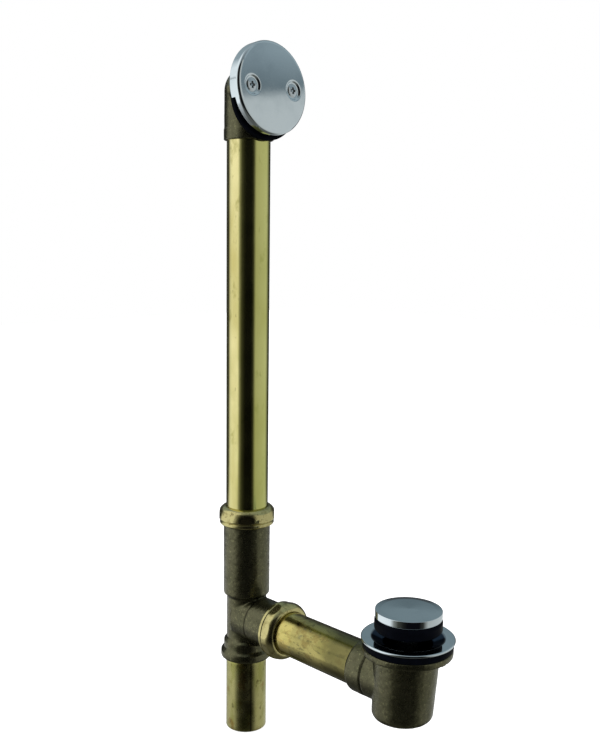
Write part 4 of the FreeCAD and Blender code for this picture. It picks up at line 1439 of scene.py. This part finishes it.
@dataclass
class Studio:
    """The floor, the light all round and the camera.

    Attributes:
        eye: where the camera stands, in metres.
        heading_deg: the camera's heading, from +Y towards -X.
        pitch_deg: how far it looks down.
        roll_deg: how far it is turned about its own axis.
        focal_px: its focal length in pixels of the photograph's frame.
        horizon: grey levels round the horizon, as (degrees to the right of the camera, sRGB hex).
        room: grey levels above them, seen by the cover, the cap's top and the nuts' crowns.
        soft_strength: how bright the white sky is that lights what isn't a mirror.
        gap_widens: heights between which the ring's turn is scaled, so that its dark gap widens.
        taller_ahead: how much higher the room starts towards the camera.
        taller_behind: how much higher it starts on the far side.
        room_edge: heights between which the horizon gives way to the room.
        room_shade: heights over which the room's foot is shaded.
        low_shade: heights over which the left panel dims towards the floor.
        left_shade: how far to the left that dimming comes in.
        floor_edge: heights over which the ring gives way to the floor's grey.
        dome_edge: heights over which the room gives way to the ceiling.
        lamp_from: where the soft lamp hangs, in metres.
        lamp_to: where it points.
    """

    eye: tuple[float, float, float] = (0.4638, -0.5777, 0.3183)
    heading_deg: float = 45.66
    pitch_deg: float = 8.41
    roll_deg: float = 0.72
    focal_px: float = 967.4
    floor_height: float = -0.1486
    floor_half: float = 4.0
    soft_strength: float = 0.75
    horizon: tuple[tuple[float, str], ...] = (
        (-180, "#4c4f51"), (-122, "#363838"), (-104, "#f2f4f4"), (-90, "#ffffff"), (-52, "#ffffff"),
        (-42, "#90908a"), (-31, "#46463f"), (-18, "#222220"), (-8, "#0c0c10"), (22, "#0c0c10"),
        (33, "#3a3a35"), (46, "#bebeba"), (116, "#d0d2d2"), (142, "#36383a"), (180, "#4c4f51"),
    )
    room: tuple[tuple[float, str], ...] = (
        (-180, "#6a787e"), (-177, "#7b898f"), (-173, "#8b9a9f"), (-130, "#a2adb2"), (-110, "#ffffff"),
        (-50, "#ffffff"), (-26, "#8a9092"), (0, "#7c8285"), (40, "#7f8689"), (76, "#a5b1b6"),
        (86, "#8a969c"), (96, "#a9b5ba"), (140, "#8f9ba0"), (175, "#7b898e"), (180, "#6a787e"),
    )
    gap_widens: Span = Span(-0.36, -0.24, 0.73, 1.0)
    taller_ahead: Span = Span(0.1, 1.0, 0.0, 0.85)
    taller_behind: Span = Span(-1.0, 0.0, 0.06, 0.0)
    room_edge: Span = Span(0.252, 0.266)
    room_shade: Span = Span(0.266, 0.320, 0.55, 0.0)
    low_shade: Span = Span(-0.38, -0.46, 0.0, 0.5)
    left_shade: Span = Span(-0.15, -0.6)
    floor_edge: Span = Span(-0.48, -0.80)
    dome_edge: Span = Span(0.86, 0.98)
    lamp_from: tuple[float, float, float] = (-0.3, -1.5, 1.4)
    lamp_to: tuple[float, float, float] = (-0.1, 0.0, 0.1)
    lamp_size: float = 1.2
    lamp_watts: float = 9.0

    def build_camera(self) -> None:
        """Creates the camera with the photograph's viewing angle and makes it the scene's own."""
        heading, pitch, roll = map(math.radians, (self.heading_deg, self.pitch_deg, self.roll_deg))
        ahead = Vector((-math.sin(heading), math.cos(heading), 0.0))
        side = Vector((math.cos(heading), math.sin(heading), 0.0))
        up = Vector((0, 0, 1))
        look = ahead * math.cos(pitch) - up * math.sin(pitch)
        above = up * math.cos(pitch) + ahead * math.sin(pitch)
        right = side * math.cos(roll) + above * math.sin(roll)
        top = above * math.cos(roll) - side * math.sin(roll)
        data = bpy.data.cameras.new("photo_camera")
        data.sensor_width = 36.0
        data.lens = self.focal_px / IMAGE_HEIGHT * data.sensor_width
        data.clip_end = 20.0
        camera = bpy.data.objects.new("photo_camera", data)
        rotation = Matrix((right, top, -look)).transposed()
        camera.matrix_world = Matrix.Translation(self.eye) @ rotation.to_4x4()
        bpy.context.scene.collection.objects.link(camera)
        bpy.context.scene.camera = camera

    def build_sky(self) -> None:
        """Lights the scene from all round: white to the camera, panels and dark gaps to the metal.

        The grey is looked up by the compass angle between a direction and the camera's own side of
        the object, on one of two rings: the panels round the horizon, and the room above them.
        Towards the floor the dark gap between the panels widens, as it does for what stands near it,
        the left panel dims, and the ring gives way to the floor's grey.
        """
        world = bpy.data.worlds.new("studio_sky")
        world.use_nodes = True
        tree = world.node_tree
        tree.nodes.clear()
        heading = math.radians(self.heading_deg)
        toward = (math.sin(heading), -math.cos(heading), 0.0)
        side = (math.cos(heading), math.sin(heading), 0.0)
        direction = add_node(tree, "TexCoord", output="Generated")
        front, right = (add_node(tree, "VectorMath", {0: direction, 1: way}, "Value",
                                 operation="DOT_PRODUCT") for way in (toward, side))
        height = add_node(tree, "SeparateXYZ", {0: direction}, "Z")
        angle = add_node(tree, "Math", {0: right, 1: front}, operation="ARCTAN2")
        narrow = add_node(tree, "MapRange", self.gap_widens.of(height), **SMOOTH)
        turn = add_node(tree, "Math", {0: angle, 1: narrow}, operation="MULTIPLY")
        place = add_node(tree, "Math", {0: turn, 1: 0.5 / math.pi, 2: 0.5},
                         operation="MULTIPLY_ADD")
        horizon, room = (add_node(tree, "ValToRGB", {0: place},
                                  stops=[(degrees / 360 + 0.5, colour) for degrees, colour in ring])
                         for ring in (self.horizon, self.room))
        over = height
        for span in (self.taller_ahead, self.taller_behind):
            taller = add_node(tree, "MapRange", span.of(front))
            over = add_node(tree, "Math", {0: over, 1: taller}, operation="SUBTRACT")
        shade = add_node(tree, "MapRange", self.room_shade.of(over))
        low_down, to_the_left, floor, rise, overhead = (
            add_node(tree, "MapRange", span.of(value), **SMOOTH) for span, value in (
                (self.low_shade, height), (self.left_shade, right), (self.floor_edge, height),
                (self.room_edge, over), (self.dome_edge, height)))
        both = add_node(tree, "Math", {0: low_down, 1: to_the_left}, operation="MULTIPLY")
        low = tinted(tree, tinted(tree, horizon, "#22221f", both), "#5c5c58", floor)
        high = tinted(tree, room, "#3c4a50", shade)
        wall = add_node(tree, "Mix", {0: rise, 6: low, 7: high}, 2, data_type="RGBA")
        dome = tinted(tree, wall, "#a4acb0", overhead)
        metal_sky = add_node(tree, "Background", {0: dome, 1: 1.0})
        soft_sky = add_node(tree, "Background", {0: linear("#ffffff"), 1: self.soft_strength})
        white = add_node(tree, "Background", {0: linear("#ffffff"), 1: 1.0})
        glossy, camera = (add_node(tree, "LightPath", output=ray)
                          for ray in ("Is Glossy Ray", "Is Camera Ray"))
        lit = add_node(tree, "MixShader", {0: glossy, 1: soft_sky, 2: metal_sky})
        seen = add_node(tree, "MixShader", {0: camera, 1: lit, 2: white})
        add_node(tree, "OutputWorld", {0: seen})
        bpy.context.scene.world = world

    def build_floor(self) -> None:
        """Lays a plain pale floor that is white to the camera and keeps a faint shadow."""
        half, z = self.floor_half, self.floor_height
        corners = np.array([[-half, -half, z], [half, -half, z], [half, half, z], [-half, half, z]])
        floor = mesh_object("studio_floor", Surface(corners, np.array([[0, 1, 2, 3]])))
        material = bpy.data.materials.new("pale_floor")
        material.use_nodes = True
        tree = material.node_tree
        tree.nodes.clear()
        paint = add_node(tree, "BsdfDiffuse", {0: linear("#e8e8e8")})
        glow = add_node(tree, "Emission", {0: linear("#ffffff"), 1: 0.8})
        glowing = add_node(tree, "AddShader", {0: paint, 1: glow})
        camera = add_node(tree, "LightPath", output="Is Camera Ray")
        seen = add_node(tree, "MixShader", {0: camera, 1: paint, 2: glowing})
        add_node(tree, "OutputMaterial", {0: seen})
        floor.data.materials.append(material)
        floor.visible_glossy = False

    def build_lamps(self) -> None:
        """Hangs one wide soft lamp over the camera's left shoulder."""
        data = bpy.data.lights.new("soft_lamp", "AREA")
        data.shape = "DISK"
        data.size = self.lamp_size
        data.energy = self.lamp_watts
        lamp = bpy.data.objects.new("soft_lamp", data)
        lamp.location = self.lamp_from
        aim = Vector(self.lamp_to) - lamp.location
        lamp.rotation_euler = aim.to_track_quat("-Z", "Y").to_euler()
        lamp.visible_glossy = False
        bpy.context.scene.collection.objects.link(lamp)

    def build(self) -> None:
        """Builds the studio."""
        bpy.context.scene.view_settings.view_transform = "Standard"
        self.build_camera()
        self.build_sky()
        self.build_floor()
        self.build_lamps()


def main() -> None:
    """Loads the frame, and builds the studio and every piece."""
    logging.basicConfig(level=logging.INFO, format="%(name)s: %(message)s")
    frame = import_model()
    workshop = Workshop(frame)
    Studio().build()
    OverflowEnd().build(workshop)
    TeeGroup().build(workshop)
    DrainEnd().build(workshop)
    Stopper().build(workshop)


if __name__ == "__main__":
    main()
